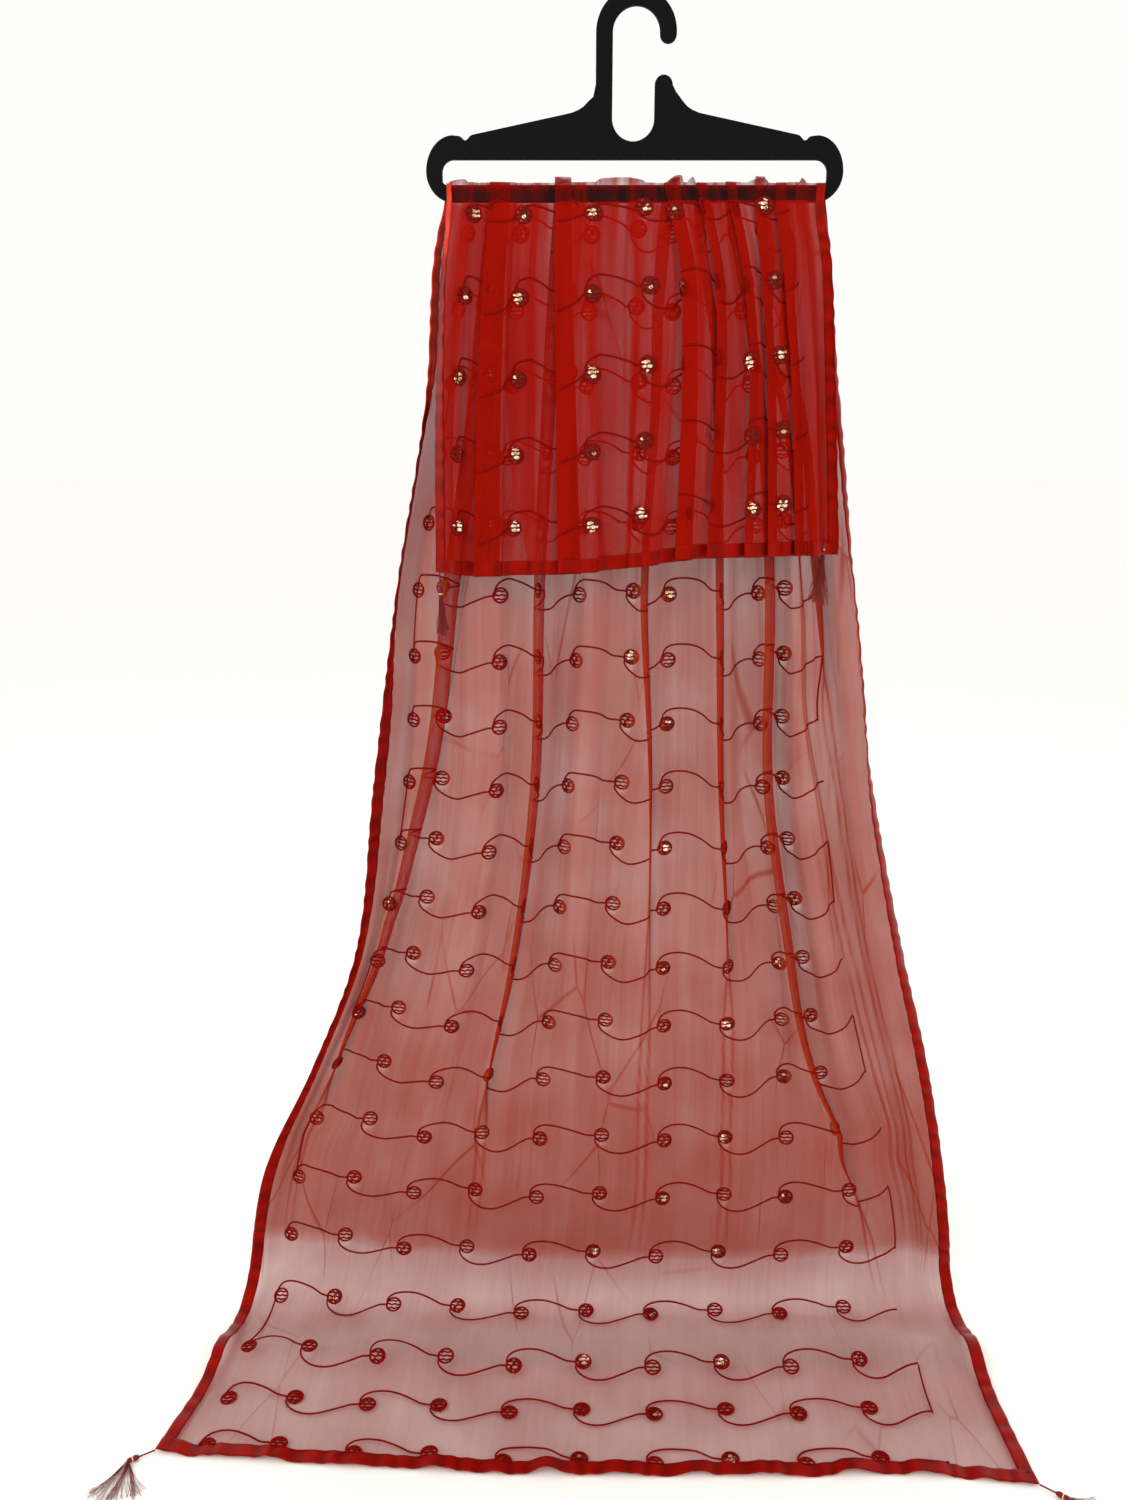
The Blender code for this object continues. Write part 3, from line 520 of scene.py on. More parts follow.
def turnRibbons(x, depth):
    # Both ribbons turn back about their seams: their width shrinks by the cosine of the turn and goes back by
    # its sine, the outer edges stay where they are, and the net beside them stretches to follow
    edge = round(cloth["ribbon"] / cloth["fineStep"])
    reach = round(columnU[1] / cloth["fineStep"])
    turns = np.radians(smoothCurve(ribbonTurns[:, 0], ribbonTurns[:, 1:], sheetV))
    x, depth = x.copy(), depth.copy()
    for side, turn in ((1, turns[:, :1]), (-1, turns[:, 1:])):
        line, deep = x[:, ::side], depth[:, ::side]
        seam = line[:, edge:edge + 1].copy()
        short = (seam - line[:, :1]) * (1.0 - np.cos(turn))
        deep[:, :edge] += np.abs(seam - line[:, :edge]) * np.sin(turn)
        line[:, :edge] = line[:, :1] + (line[:, :edge] - line[:, :1]) * np.cos(turn)
        line[:, edge:reach] -= short * np.linspace(1.0, 0.0, reach - edge) ** 2
    return x, depth


def hemRipple():
    # Sum of bells over the flat width, growing as a square over the last 80 mm before the hem
    reach = cloth["rippleReach"]
    share = clamp((sheetV - cloth["fallLength"] + reach) / reach)[:, None] ** 2
    place, half, height = (column[:, None] for column in ripples.T / 1000.0)
    return share * (height * np.exp(-((fineU - place) / half) ** 2)).sum(axis=0)


def runningMean(rows, count):
    # Mean over count neighbours across the flat width, an odd count, with the ends repeated
    total = np.cumsum(np.pad(rows, ((0, 0), (count // 2 + 1, count // 2)), mode="edge"), axis=1)
    return (total[:, count:] - total[:, :-count]) / count


# Power of the sideways gathering that counts as density, at places v: flap, bar and fall
gatherPower = ((-0.03, 0.03, 0.4), (0.32, 0.3, 0.13))

# v, and how much painted light, a brighter thread red, the net gets there: behind the flap, and on the floor
paintedLightRows = ((0.03, 0.06, 0.31, 0.40, 1.18, 1.20), (1.0, 0.75, 0.75, 0.0, 0.0, 0.35))


def clothGrid():
    # Points of the whole cloth over sheetV and fineU: the side line at v, moved by the depth square to it.
    # Over the bar the steps between layers are rounded off, by running means, and the puffs are added. With
    # them come how sharply the cloth bends, its layers' worth of thread, its painted light, a brighter thread
    # red where layers lie on each other, behind the flap and on the floor, and the outward side at each v
    x, depth, bending, layered, edged, across = crossSections(sheetV)
    v = sheetV[:, None]
    x, depth = turnRibbons(x, depth - hemRipple())
    overBar = np.exp(-(v / cloth["barReach"]) ** 2)
    rounded = depth
    for _ in range(3):
        rounded = runningMean(rounded, cloth["barWindow"])
    depth = depth + overBar * (cloth["barRound"] * (rounded - depth) - cloth["barFlat"] * rounded)
    inward = np.minimum(fineU, cloth["width"] - fineU) / cloth["endReach"]
    depth = depth * (1.0 - cloth["endFlat"] * overBar * clamp(1.0 - inward))
    for puff in puffs.values():
        share = (fineU * 1000.0 - puff["u"]) / puff["half"]
        bump = clamp(1.0 - share ** 2) ** cloth["puffPower"]
        depth = depth + puff["height"] / 1000.0 * bump * np.exp(-(v / cloth["puffReach"]) ** 2)
    depth = depth + creaseDepth(x, v) * clamp((np.abs(v) - cloth["creaseStart"]) / cloth["creaseGrow"])
    skew = np.interp(fineU, *flapDrop) / 1000.0 * clamp(-v / cloth["skewStart"])
    reach = np.interp(fineU, *hemReach) / 1000.0 * clamp((v - cloth["reachStart"]) / cloth["reachGrow"])
    along = v - cloth["crinkle"] * np.maximum(v, 0.0) - skew + reach - lostLength(sheetV)
    y, z = (np.interp(along, lineV, lineYZ[:, k]) for k in (0, 1))
    dy, dz = (np.interp(along + 0.001, lineV, lineYZ[:, k]) - np.interp(along - 0.001, lineV, lineYZ[:, k])
              for k in (0, 1))
    size = np.hypot(dy, dz)
    points = np.stack([x, y - dz / size * depth, z + dy / size * depth + cloth["barLine"]], axis=-1)
    gathered = np.clip(cloth["fineStep"] / np.maximum(np.abs(across), 1e-5), 1.0, cloth["mostLayers"])
    gathered = gathered ** np.interp(v, *gatherPower) * stripes()
    hidden = layered * clamp(v / cloth["barReach"])
    gathered += hidden * (cloth["hiddenLayers"] - gathered)
    gathered = gathered * (1.0 + cloth["edgeLayers"] * clamp(edged) * (1.0 - overBar)) + pleatLayers()
    # Painted light: the thread is painted a brighter red along fold layers and edges, behind the flap and on
    # the floor
    bright = clamp(np.interp(v, *paintedLightRows) + cloth["foldPaintedLight"] * (layered + edged))
    out = np.column_stack([np.zeros(len(sheetV)), (dz / size)[:, 0], (-dy / size)[:, 0]])
    return points, bending, gathered, bright, out


clothPoints, clothBending, clothGathered, clothPaintedLight, clothOut = clothGrid()
print("stage: cloth worked out", clothPoints.shape)


def lookUp(values, u, v):
    # Value of a cloth array at flat places u, v, by straight lines between its four nearest entries
    row = np.interp(v, sheetV, np.arange(len(sheetV)))
    column = np.clip(u / cloth["fineStep"], 0, len(fineU) - 1.001)
    r = np.clip(row.astype(int), 0, len(sheetV) - 2)
    c = column.astype(int)
    a, b = row - r, column - c
    if values.ndim > 2:
        a, b = a[..., None], b[..., None]
    return ((values[r, c] * (1 - b) + values[r, c + 1] * b) * (1 - a)
            + (values[r + 1, c] * (1 - b) + values[r + 1, c + 1] * b) * a)


def clothFrame(u, v):
    # Point and outward side of the cloth: the side is square to both flat directions, from places 1.5 mm off
    step = 0.0015
    point = lookUp(clothPoints, u, v)
    alongU = lookUp(clothPoints, u + step, v) - lookUp(clothPoints, u - step, v)
    alongV = lookUp(clothPoints, u, v + step) - lookUp(clothPoints, u, v - step)
    return point, unit(np.cross(alongV, alongU))


def linear(hexColour):
    # sRGB hex to the linear red, green and blue that Blender's sockets take
    parts = np.array([int(hexColour[i:i + 2], 16) for i in (1, 3, 5)]) / 255.0
    values = np.where(parts <= 0.04045, parts / 12.92, ((parts + 0.055) / 1.055) ** 2.4)
    return (*values.tolist(), 1.0)


def join(tree, node, links):
    # Links go from outputs to the node's sockets
    for socket, source in links.items():
        tree.links.new(source, node.inputs[socket])


def addNode(tree, kind, values=None, links=None, **settings):
    # A node with its settings, socket values and links
    node = tree.nodes.new("ShaderNode" + kind)
    for key, value in settings.items():
        setattr(node, key, value)
    for socket, value in (values or {}).items():
        node.inputs[socket].default_value = value
    join(tree, node, links or {})
    return node


def ends(low, high, side="To"):
    # Socket values for both ends of a MapRange node's range
    return {side + " Min": low, side + " Max": high}


def newMaterial(name, values):
    # The values go to the shader's sockets; a hex string is a colour
    material = bpy.data.materials.new(name)
    material.use_nodes = True
    tree = material.node_tree
    shader = tree.nodes["Principled BSDF"]
    for socket, value in values.items():
        shader.inputs[socket].default_value = linear(value) if isinstance(value, str) else value
    return material, tree, shader


# Noise seldom leaves this range, so it is stretched from it
noiseEnds = ends(0.3, 0.7, "From")

# A wave texture of scale 1 has its bands this far apart along one axis. Diagonal bands are twice as far apart
# along x + y + z, which makes them closer square to themselves
waveBands = math.pi / 10


def scaleFor(*sizes):
    # Mapping scale at which noise has features of these sizes in metres
    return tuple(1.0 / size for size in sizes) + (1.0,) * (3 - len(sizes))


def gridQuads(rows, columns, closed=False, looped=False, base=0):
    # Quads between neighbouring points of a grid, whose first point has the number base. closed joins the
    # last column to the first, looped the last row
    index = np.arange(rows * columns).reshape(rows, columns) + base
    if looped:
        index = np.concatenate([index, index[:1]])
    if closed:
        index = np.concatenate([index, index[:, :1]], axis=1)
    return np.stack([index[:-1, :-1], index[1:, :-1], index[1:, 1:], index[:-1, 1:]], axis=-1).reshape(-1, 4)


def gridPiece(name, points, flat=None, values=None, material=None, closed=False):
    # A surface over a grid of points, rows by columns
    quads = gridQuads(*points.shape[:2], closed)
    return meshPiece(name, points.reshape(-1, 3), quads, None if flat is None else flat.reshape(-1, 2),
                     values, material)


def meshPiece(name, points, faces, flat=None, values=None, material=None):
    # A smooth mesh at the origin that rides on root; flat is its UV map and values are its attributes
    mesh = bpy.data.meshes.new(name)
    mesh.from_pydata(points, [], faces)
    mesh.polygons.foreach_set("use_smooth", np.ones(len(mesh.polygons), bool))
    if flat is not None:
        corners = np.zeros(len(mesh.loops), np.int32)
        mesh.loops.foreach_get("vertex_index", corners)
        layer = mesh.uv_layers.new(name="flat")
        layer.data.foreach_set("uv", flat[corners].ravel().astype(np.float32))
    for key, value in (values or {}).items():
        attribute = mesh.attributes.new(key, "FLOAT", "POINT")
        attribute.data.foreach_set("value", np.ravel(value).astype(np.float32))
    mesh.update()
    piece = bpy.data.objects.new(name, mesh)
    bpy.context.scene.collection.objects.link(piece)
    mesh.materials.append(material)
    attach(piece, "root")
    return piece


# Cord embroidery in rows: a disc every pitch, and one scrolling cord that joins the discs of a row
motif = {
    "first": 0.057,
    "pitch": 0.075,
    "count": 10,
    "rowPitch": 0.0715,
    "flapRows": 5,
    "fallRows": 21,
    "flapStart": -0.0305,
    "fallStart": 0.0472,
    "oddRise": 0.005,
    "firstLoop": 0.11,
    "lastLoop": 0.95,
    "discRadius": 0.0087,
    "ringWidth": 0.0023,
    "ringHeight": 0.0012,
    "oval": 1.06,
    "bars": (-0.0040, 0.0002, 0.0042),
    "barHeight": 0.0021,
    "barOut": 0.0013,
    "barWave": 0.00055,
    "cordRadius": 0.00108,
    "twist": 0.0011336,
    "stiff": 0.92,
    "stiffReach": 0.006,
    "level": 0.7,
    "thread": "#5E0504",
    # a painted highlight on each turn of the twist
    "threadPaintedGloss": "#8C0E0A",
}

# Sequins between a disc's bars, in metres: each row's height and count. left is the share still there on a
# disc that has lost some, backDiscs and insideDiscs the shares of discs that have any, and brightDiscs and
# brightInside the shares of those whose painted glint, a painted highlight, covers a wide patch
sequin = {
    "rows": ((-0.0061, 3), (-0.0019, 5), (0.0022, 5), (0.0062, 3)),
    "gap": 0.0026,
    "astray": 0.0005,
    "radius": 0.0018,
    "tilt": 0.00045,
    "off": 0.0007,
    "middleOff": 0.0005,
    "cloud": 0.004167,
    "glintReach": (0.0050, 0.0016),
    "left": 0.55,
    "backDiscs": 0.40,
    "insideDiscs": 0.14,
    "brightDiscs": 0.55,
    "brightInside": 0.60,
    "rough": (0.16, 0.34),
    "whiteFrom": 0.75,
    # film is the sequins' own pale gold; the dark red after it is a painted reflection of the cloth, and
    # glint a painted white highlight
    "film": "#F0D9A6",
    "paintedClothReflection": "#5A0F0A",
    "glint": "#FFF8EA",
}


def rowStarts():
    # Flat places of the rows, evenly spaced but for the last three, which follow the hem
    flap = motif["flapStart"] - motif["rowPitch"] * np.arange(motif["flapRows"])
    fall = motif["fallStart"] + motif["rowPitch"] * np.arange(motif["fallRows"])
    fall[-3:-1] += (0.020, 0.007)
    fall[-1] = cloth["fallLength"] - cloth["ribbon"] + 0.001
    return flap, fall


def discOpening(u, v):
    # 1 in the middle of each disc, where its stitches hold the net open, falling to 0 at its ring: the
    # exponential of minus the fourth power of the distance
    rows = np.concatenate(rowStarts())
    nearest = rows[np.abs(v[..., None] - rows).argmin(axis=-1)]
    number = np.clip(np.round((u - motif["first"]) / motif["pitch"]), 0, motif["count"] - 1)
    off = np.hypot(u - motif["first"] - number * motif["pitch"],
                   np.abs(v - nearest) - motif["oddRise"] * (number % 2) * 0.5)
    return np.exp(-(off / (0.8 * motif["discRadius"])) ** 4)


# Nylon net, knitted and dyed: sheer, a little cloudy where it is gathered, with a soft nylon gloss
net = {
    # thread is the brighter red that painted light mixes in; threadDeep is the colour where none is painted
    "thread": "#900C04",
    "threadDeep": "#8D2B13",
    "gloss": "#FF7448",
    "bloom": "#FF8A60",
    "ownNormal": 0.22,
    "open": (0.29, 0.41),
    "discLoss": 0.35,
    "cell": 0.0013195,
    "cloud": 0.111,
    "cloudLayers": (0.86, 1.15),
    "streak": (0.003846, 0.111),
    "streakLayers": (0.95, 1.06),
    "crease": (0.0769, 0.2222),
    "creaseTurn": 0.62,
    "creaseWidth": 0.014,
    "creaseLayers": 0.60,
    "patch": 0.1429,
    "patchEdge": (0.48, 0.62),
    "bendColumns": 3.0,
    "columns": 330,
    "flapColumns": 600,
}


def netMaterial():
    # What is seen through one layer is the open share, and a gathered layer passes that share once for each
    # layer's worth of thread in it. The net's cell is 1 mm; it is drawn at 1.3 mm so that it shows. Cloudy
    # and streaky noise make it uneven, and thin slanting lines that come and go are its sharpest creases.
    # Painted light: where layers lie on each other, behind the flap and on the floor, the bright attribute
    # makes the thread a brighter red, standing in for the light that layers pass on to one another
    material, tree, shader = newMaterial("Nylon net, knitted and dyed", {
        "Roughness": 0.5,
        "Specular IOR Level": 0.08,
        "Specular Tint": net["gloss"],
        "Sheen Weight": 0.03,
        "Sheen Tint": net["bloom"],
    })
    place = addNode(tree, "UVMap", uv_map="flat").outputs[0]
    turned = addNode(tree, "Mapping", {"Rotation": (0, 0, math.pi / 4)}, {"Vector": place}).outputs[0]
    threads = []
    for axis in ("X", "Y"):
        wave = addNode(tree, "TexWave", {"Scale": waveBands / net["cell"], "Distortion": 0.6, "Detail": 1.0},
                       {"Vector": turned}, bands_direction=axis)
        threads.append(wave.outputs["Fac"])
    lattice = addNode(tree, "Math", links={0: threads[0], 1: threads[1]}, operation="MULTIPLY").outputs[0]
    holes = addNode(tree, "MapRange", ends(*net["open"]), {"Value": lattice})
    cloud = addNode(tree, "TexNoise", {"Scale": 1.0 / net["cloud"], "Detail": 3.0}, {"Vector": place})
    soft = addNode(tree, "MapRange", {**noiseEnds, **ends(*net["cloudLayers"])},
                   {"Value": cloud.outputs["Fac"]})
    long = addNode(tree, "Mapping", {"Scale": scaleFor(*net["streak"])}, {"Vector": place})
    thin = addNode(tree, "TexNoise", {"Scale": 1.0, "Detail": 2.0}, {"Vector": long.outputs[0]})
    streak = addNode(tree, "MapRange", {**noiseEnds, **ends(*net["streakLayers"])},
                     {"Value": thin.outputs["Fac"]})
    slanted = addNode(tree, "Mapping", {"Rotation": (0, 0, net["creaseTurn"]),
                                        "Scale": scaleFor(*net["crease"])}, {"Vector": place})
    cells = addNode(tree, "TexVoronoi", {"Scale": 1.0, "Randomness": 1.0}, {"Vector": slanted.outputs[0]},
                    feature="DISTANCE_TO_EDGE")
    line = addNode(tree, "MapRange", {"From Max": net["creaseWidth"], "To Min": net["creaseLayers"],
                                      "To Max": 0.0}, {"Value": cells.outputs["Distance"]})
    come = addNode(tree, "TexNoise", {"Scale": 1.0 / net["patch"], "Detail": 1.0}, {"Vector": turned})
    shown = addNode(tree, "MapRange", ends(*net["patchEdge"], "From"), {"Value": come.outputs["Fac"]})
    crease = addNode(tree, "Math", {2: 1.0}, {0: line.outputs[0], 1: shown.outputs[0]},
                     operation="MULTIPLY_ADD")
    layers = addNode(tree, "Attribute", attribute_name="gathered").outputs["Fac"]
    for factor in (soft, streak, crease):
        layers = addNode(tree, "Math", links={0: layers, 1: factor.outputs[0]},
                         operation="MULTIPLY").outputs[0]
    seen = addNode(tree, "Math", links={0: holes.outputs[0], 1: layers}, operation="POWER")
    # Painted light: bright mixes the thread colour from threadDeep to the brighter red
    bright = addNode(tree, "Attribute", attribute_name="bright")
    colour = addNode(tree, "Mix", {6: linear(net["threadDeep"]), 7: linear(net["thread"])},
                     {0: bright.outputs["Fac"]}, data_type="RGBA")
    bump = addNode(tree, "Bump", {"Strength": 0.25, "Distance": 0.0004}, {"Height": lattice})
    join(tree, shader, {"Base Color": colour.outputs[2], "Normal": bump.outputs[0]})
    clear = addNode(tree, "BsdfTransparent")
    mix = addNode(tree, "MixShader", links={0: seen.outputs[0], 1: shader.outputs[0], 2: clear.outputs[0]})
    join(tree, tree.nodes["Material Output"], {"Surface": mix.outputs[0]})
    return material


netCloth = netMaterial()


def netColumns(v, count):
    # Flat places of the mesh columns in each row: evenly spaced, four times closer at the bends
    keep = (fineU >= cloth["ribbon"] - 1e-6) & (fineU <= cloth["width"] - cloth["ribbon"] + 1e-6)
    places = fineU[keep]
    row = np.interp(v, sheetV, np.arange(len(sheetV)))
    low = np.clip(row.astype(int), 0, len(sheetV) - 2)
    weight = 1.0 + net["bendColumns"] * clothBending[low][:, keep]
    total = np.cumsum(weight, axis=1) - weight
    shares = np.linspace(0.0, 1.0, count)
    return np.array([np.interp(shares * line[-1], line, places) for line in total])


def netPiece(name, v, replaced):
    # The cloth's points at rows v, at each row's own flat places. Net scatters light evenly, so its shading
    # normals lean from the small waves towards the cloth's own side
    u = netColumns(v, net["flapColumns"] if v[0] < 0 else net["columns"])
    vv = np.broadcast_to(v[:, None], u.shape)
    points = lookUp(clothPoints, u, vv)
    values = {
        "gathered": lookUp(clothGathered, u, vv) * (1.0 - net["discLoss"] * discOpening(u, vv)),
        "bright": lookUp(clothPaintedLight, u, vv),
    }
    piece = gridPiece(name, points, np.stack([u, vv], axis=-1), values, netCloth)
    normal = unit(np.cross(np.gradient(points, axis=0), np.gradient(points, axis=1)))
    side = np.column_stack([np.interp(v, sheetV, clothOut[:, k]) for k in range(3)])[:, None, :]
    facing = np.clip(3.0 * (normal * side).sum(axis=-1, keepdims=True), -1.0, 1.0)
    normal = unit(net["ownNormal"] * normal + (1.0 - net["ownNormal"]) * facing * side)
    piece.data.normals_split_custom_set_from_vertices(normal.reshape(-1, 3))
    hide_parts(*replaced)
    return piece


netFlap = netPiece("net_flap_cloth", np.concatenate([rowsOf["flap"], rowsOf["bar"][1:]]),
                   ["net_front_flap", "net_bar_fold"])
netFall = netPiece("net_fall_cloth", rowsOf["fall"], ["net_back_fall"])
netFloor = netPiece("net_floor_cloth", rowsOf["floor"], ["net_floor_spread"])
print("stage: net made")

# Satin ribbon, woven polyester: deep red, with painted shade in its puckers' troughs and a soft painted
# highlight, a bright line, where it rolls
ribbon = {
    "deep": "#4A0201",
    "bright": "#880602",
    "lit": "#DC4032",
    "gloss": "#FF5438",
    "thick": 0.0009,
    "lap": 0.0025,
    "pucker": 0.00055,
    "puckerLength": 0.023,
    "floats": 0.0009775,
    "rough": (0.30, 0.48),
    "litTrough": 0.7,
    "cloud": 0.01667,
    "litFrom": -0.075,
    "litTo": 0.215,
    "litFades": (0.02, 0.03),
    "across": 7,
    "flapRows": 200,
    "fallRows": 420,
    "floorRows": 110,
    "flapHemColumns": 900,
    "floorHemColumns": 500,
}


def ribbonMaterial():
    # Floats of the satin run along the ribbon, so it shines across them; they are drawn 1 mm apart, as their
    # real 0.2 mm is too fine to show. The colour is painted shade in the puckers' troughs, darker there and
    # brighter on their tops. Where the ribbon rolls out to the light beside the flap a painted highlight
    # makes it a brighter red on the tops of the puckers
    material, tree, shader = newMaterial("Polyester satin ribbon, woven", {
        "Specular IOR Level": 0.45,
        "Specular Tint": ribbon["gloss"],
        "Anisotropic": 0.4,
        "IOR": 1.54,
    })
    place = addNode(tree, "UVMap", uv_map="flat").outputs[0]
    scale = 2 * waveBands / math.sqrt(2) / ribbon["floats"]
    floats = addNode(tree, "TexWave", {"Scale": scale, "Distortion": 0.4}, {"Vector": place},
                     bands_direction="DIAGONAL")
    cloud = addNode(tree, "TexNoise", {"Scale": 1.0 / ribbon["cloud"], "Detail": 3.0}, {"Vector": place})
    pucker = addNode(tree, "Attribute", attribute_name="pucker").outputs["Fac"]
    # Painted shade: the pucker attribute, with cloudy noise, mixes the troughs towards the deep colour
    share = addNode(tree, "Math", {1: 0.5}, {0: pucker}, operation="MULTIPLY")
    total = addNode(tree, "Math", links={0: share.outputs[0], 1: cloud.outputs["Fac"]}, operation="ADD")
    colour = addNode(tree, "Mix", {6: linear(ribbon["deep"]), 7: linear(ribbon["bright"])},
                     {0: total.outputs[0]}, data_type="RGBA")
    # Painted highlight: lit mixes in a brighter red on the pucker tops beside the flap
    lit = addNode(tree, "Attribute", attribute_name="lit")
    tops = addNode(tree, "MapRange", {"To Min": ribbon["litTrough"]}, {"Value": pucker})
    shown = addNode(tree, "Math", links={0: lit.outputs["Fac"], 1: tops.outputs[0]}, operation="MULTIPLY")
    both = addNode(tree, "Mix", {7: linear(ribbon["lit"])}, {0: shown.outputs[0], 6: colour.outputs[2]},
                   data_type="RGBA")
    rough = addNode(tree, "MapRange", ends(*ribbon["rough"]), {"Value": cloud.outputs["Fac"]})
    bump = addNode(tree, "Bump", {"Strength": 0.3, "Distance": 0.0003}, {"Height": floats.outputs["Fac"]})
    join(tree, shader, {"Base Color": both.outputs[2], "Roughness": rough.outputs[0]})
    join(tree, shader, {"Normal": bump.outputs[0]})
    return material


satin = ribbonMaterial()


def ribbonPiece(name, u, v, replaced):
    # A ribbon over flat places u, v: the cloth's surface, moved out and in by small uneven puckers that run
    # across the ribbon, then given its thickness
    u, v = np.broadcast_arrays(u, v)
    point, normal = clothFrame(u, v)
    length = u if np.ptp(u) > np.ptp(v) else v
    phase = 2 * math.pi * length / ribbon["puckerLength"]
    pucker = np.sin(phase + 1.1 * np.sin(phase * 0.37) + 0.8 * np.sin(phase * 0.13 + 2.0))
    point = point + normal * (pucker * ribbon["pucker"])[..., None]
    above, below = ribbon["litFades"]
    lit = clamp((v - ribbon["litFrom"]) / above) * clamp((ribbon["litTo"] - v) / below)
    # pucker also drives the painted shade in the troughs; lit is where the painted highlight goes
    values = {"pucker": pucker * 0.5 + 0.5, "lit": lit * (u < 2 * cloth["ribbon"])}
    piece = gridPiece(name, point, np.stack([u, v], axis=-1), values, satin)
    wall = piece.modifiers.new("thickness", "SOLIDIFY")
    wall.thickness = ribbon["thick"]
    wall.offset = 0.0
    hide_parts(*replaced)
    return piece


def ribbonSides():
    # Strips along both long sides, in three runs each, and along both hems
    edge = cloth["ribbon"]
    flapEnd = -cloth["flapLength"]
    width = ribbon["across"]
    made = {}
    runs = {
        "flap": (flapEnd + edge - ribbon["lap"], cloth["barBack"], ribbon["flapRows"]),
        "fall": (cloth["barBack"], cloth["floorStart"], ribbon["fallRows"]),
        "floor": (cloth["floorStart"], cloth["fallLength"] - edge + ribbon["lap"], ribbon["floorRows"]),
    }
    for side, start in (("left", 0.0), ("right", cloth["width"] - edge)):
        u = np.linspace(start, start + edge, width)[None, :]
        for run, ends in runs.items():
            name = run + "_" + side
            made["ribbon_" + name] = ribbonPiece("ribbon_" + name, u, np.linspace(*ends)[:, None],
                                                 ["border_" + name])
    for run, start in (("flap", flapEnd), ("floor", cloth["fallLength"] - edge)):
        u = np.linspace(0.0, cloth["width"], ribbon[run + "HemColumns"])[None, :]
        v = np.linspace(start, start + edge, width)[:, None]
        name = run + "_hem"
        made["ribbon_" + name] = ribbonPiece("ribbon_" + name, u, v, ["border_" + name])
    return made


ribbons = ribbonSides()
print("stage: ribbons made")

# The scroll's shape: places in pitches from a disc, and heights in millimetres, for even and for odd discs
scrollEven = (
    (-0.11, 0.0), (-0.105, 7.0), (-0.03, 13.5), (0.12, 16.8), (0.33, 16.6), (0.55, 12.0), (0.74, 6.0),
)
scrollOdd = (
    (-0.11, 4.0), (-0.10, -3.0), (-0.02, -10.5), (0.14, -15.5), (0.34, -15.0), (0.58, -8.0), (0.78, -1.5),
)


def rowPlace(number):
    # Flat place across the cloth, counted in discs
    return motif["first"] + number * motif["pitch"]


def scrollPath():
    # One row's cord, smooth through the points of its ten discs, as flat u and height over the row
    points = []
    for k in range(motif["count"]):
        for place, height in (scrollOdd if k % 2 else scrollEven):
            points.append((rowPlace(k + place), height / 1000.0))
    points.append((rowPlace(motif["count"] - 1 + motif["lastLoop"]), 0.002))
    points = np.array(points)
    return smoothCurve(np.arange(len(points)), points, np.linspace(0, len(points) - 1, 4 * len(points)))


def tubes(paths, normals, radius, sides, flatten=1.0):
    # Rings round each path: the side and the square direction, weighed by cosine and sine
    across = unit(np.cross(unit(np.gradient(paths, axis=1)), normals))
    angles = 2 * math.pi * np.arange(sides) / sides
    ring = (paths[:, :, None, :] + radius * (np.cos(angles)[:, None] * across[:, :, None, :]
                                             + flatten * np.sin(angles)[:, None] * normals[:, :, None, :]))
    count, length = paths.shape[:2]
    index = np.arange(count * length * sides).reshape(count, length, sides)
    index = np.concatenate([index, index[:, :, :1]], axis=2)
    quads = np.stack([index[:, :-1, :-1], index[:, :-1, 1:], index[:, 1:, 1:], index[:, 1:, :-1]], axis=-1)
    return ring.reshape(-1, 3), quads.reshape(-1, 4)


def threadMaterial():
    # Rayon cord, twisted: dark, with a dull gloss painted into its colour on each turn of the twist, 1.1 mm
    # apart
    material, tree, shader = newMaterial("Rayon cord, twisted", {
        "Roughness": 0.6,
        "Specular IOR Level": 0.08,
        "Specular Tint": "#FF8070",
    })
    place = addNode(tree, "TexCoord").outputs["Object"]
    scale = 2 * waveBands / math.sqrt(3) / motif["twist"]
    twist = addNode(tree, "TexWave", {"Scale": scale, "Distortion": 1.5, "Detail": 2.0}, {"Vector": place},
                    bands_direction="DIAGONAL")
    # Painted highlight: the twist's bands mix the dark thread towards the lighter gloss colour
    colour = addNode(tree, "Mix", {6: linear(motif["thread"]), 7: linear(motif["threadPaintedGloss"])},
                     {0: twist.outputs["Fac"]}, data_type="RGBA")
    bump = addNode(tree, "Bump", {"Strength": 0.5, "Distance": 0.0003}, {"Height": twist.outputs["Fac"]})
    join(tree, shader, {"Base Color": colour.outputs[2], "Normal": bump.outputs[0]})
    return material


def sequinMaterial():
    # Polyester film, metallised pale gold. Which sequins glint is painted: the glint attribute mixes the base
    # colour from a painted dark red reflection of the cloth to the pale gold film, and at its top to a
    # painted highlight
    material, tree, shader = newMaterial("Metallised sequin film", {"Metallic": 0.85})
    place = addNode(tree, "TexCoord").outputs["Object"]
    cloud = addNode(tree, "TexNoise", {"Scale": 1.0 / sequin["cloud"]}, {"Vector": place})
    glint = addNode(tree, "Attribute", attribute_name="glint").outputs["Fac"]
    colour = addNode(tree, "Mix", {6: linear(sequin["paintedClothReflection"]), 7: linear(sequin["film"])}, {0: glint},
                     data_type="RGBA")
    top = addNode(tree, "MapRange", {"From Min": sequin["whiteFrom"]}, {"Value": glint})
    both = addNode(tree, "Mix", {7: linear(sequin["glint"])}, {0: top.outputs[0], 6: colour.outputs[2]},
                   data_type="RGBA")
    rough = addNode(tree, "MapRange", ends(*sequin["rough"]), {"Value": cloud.outputs["Fac"]})
    join(tree, shader, {"Base Color": both.outputs[2], "Roughness": rough.outputs[0]})
    return material


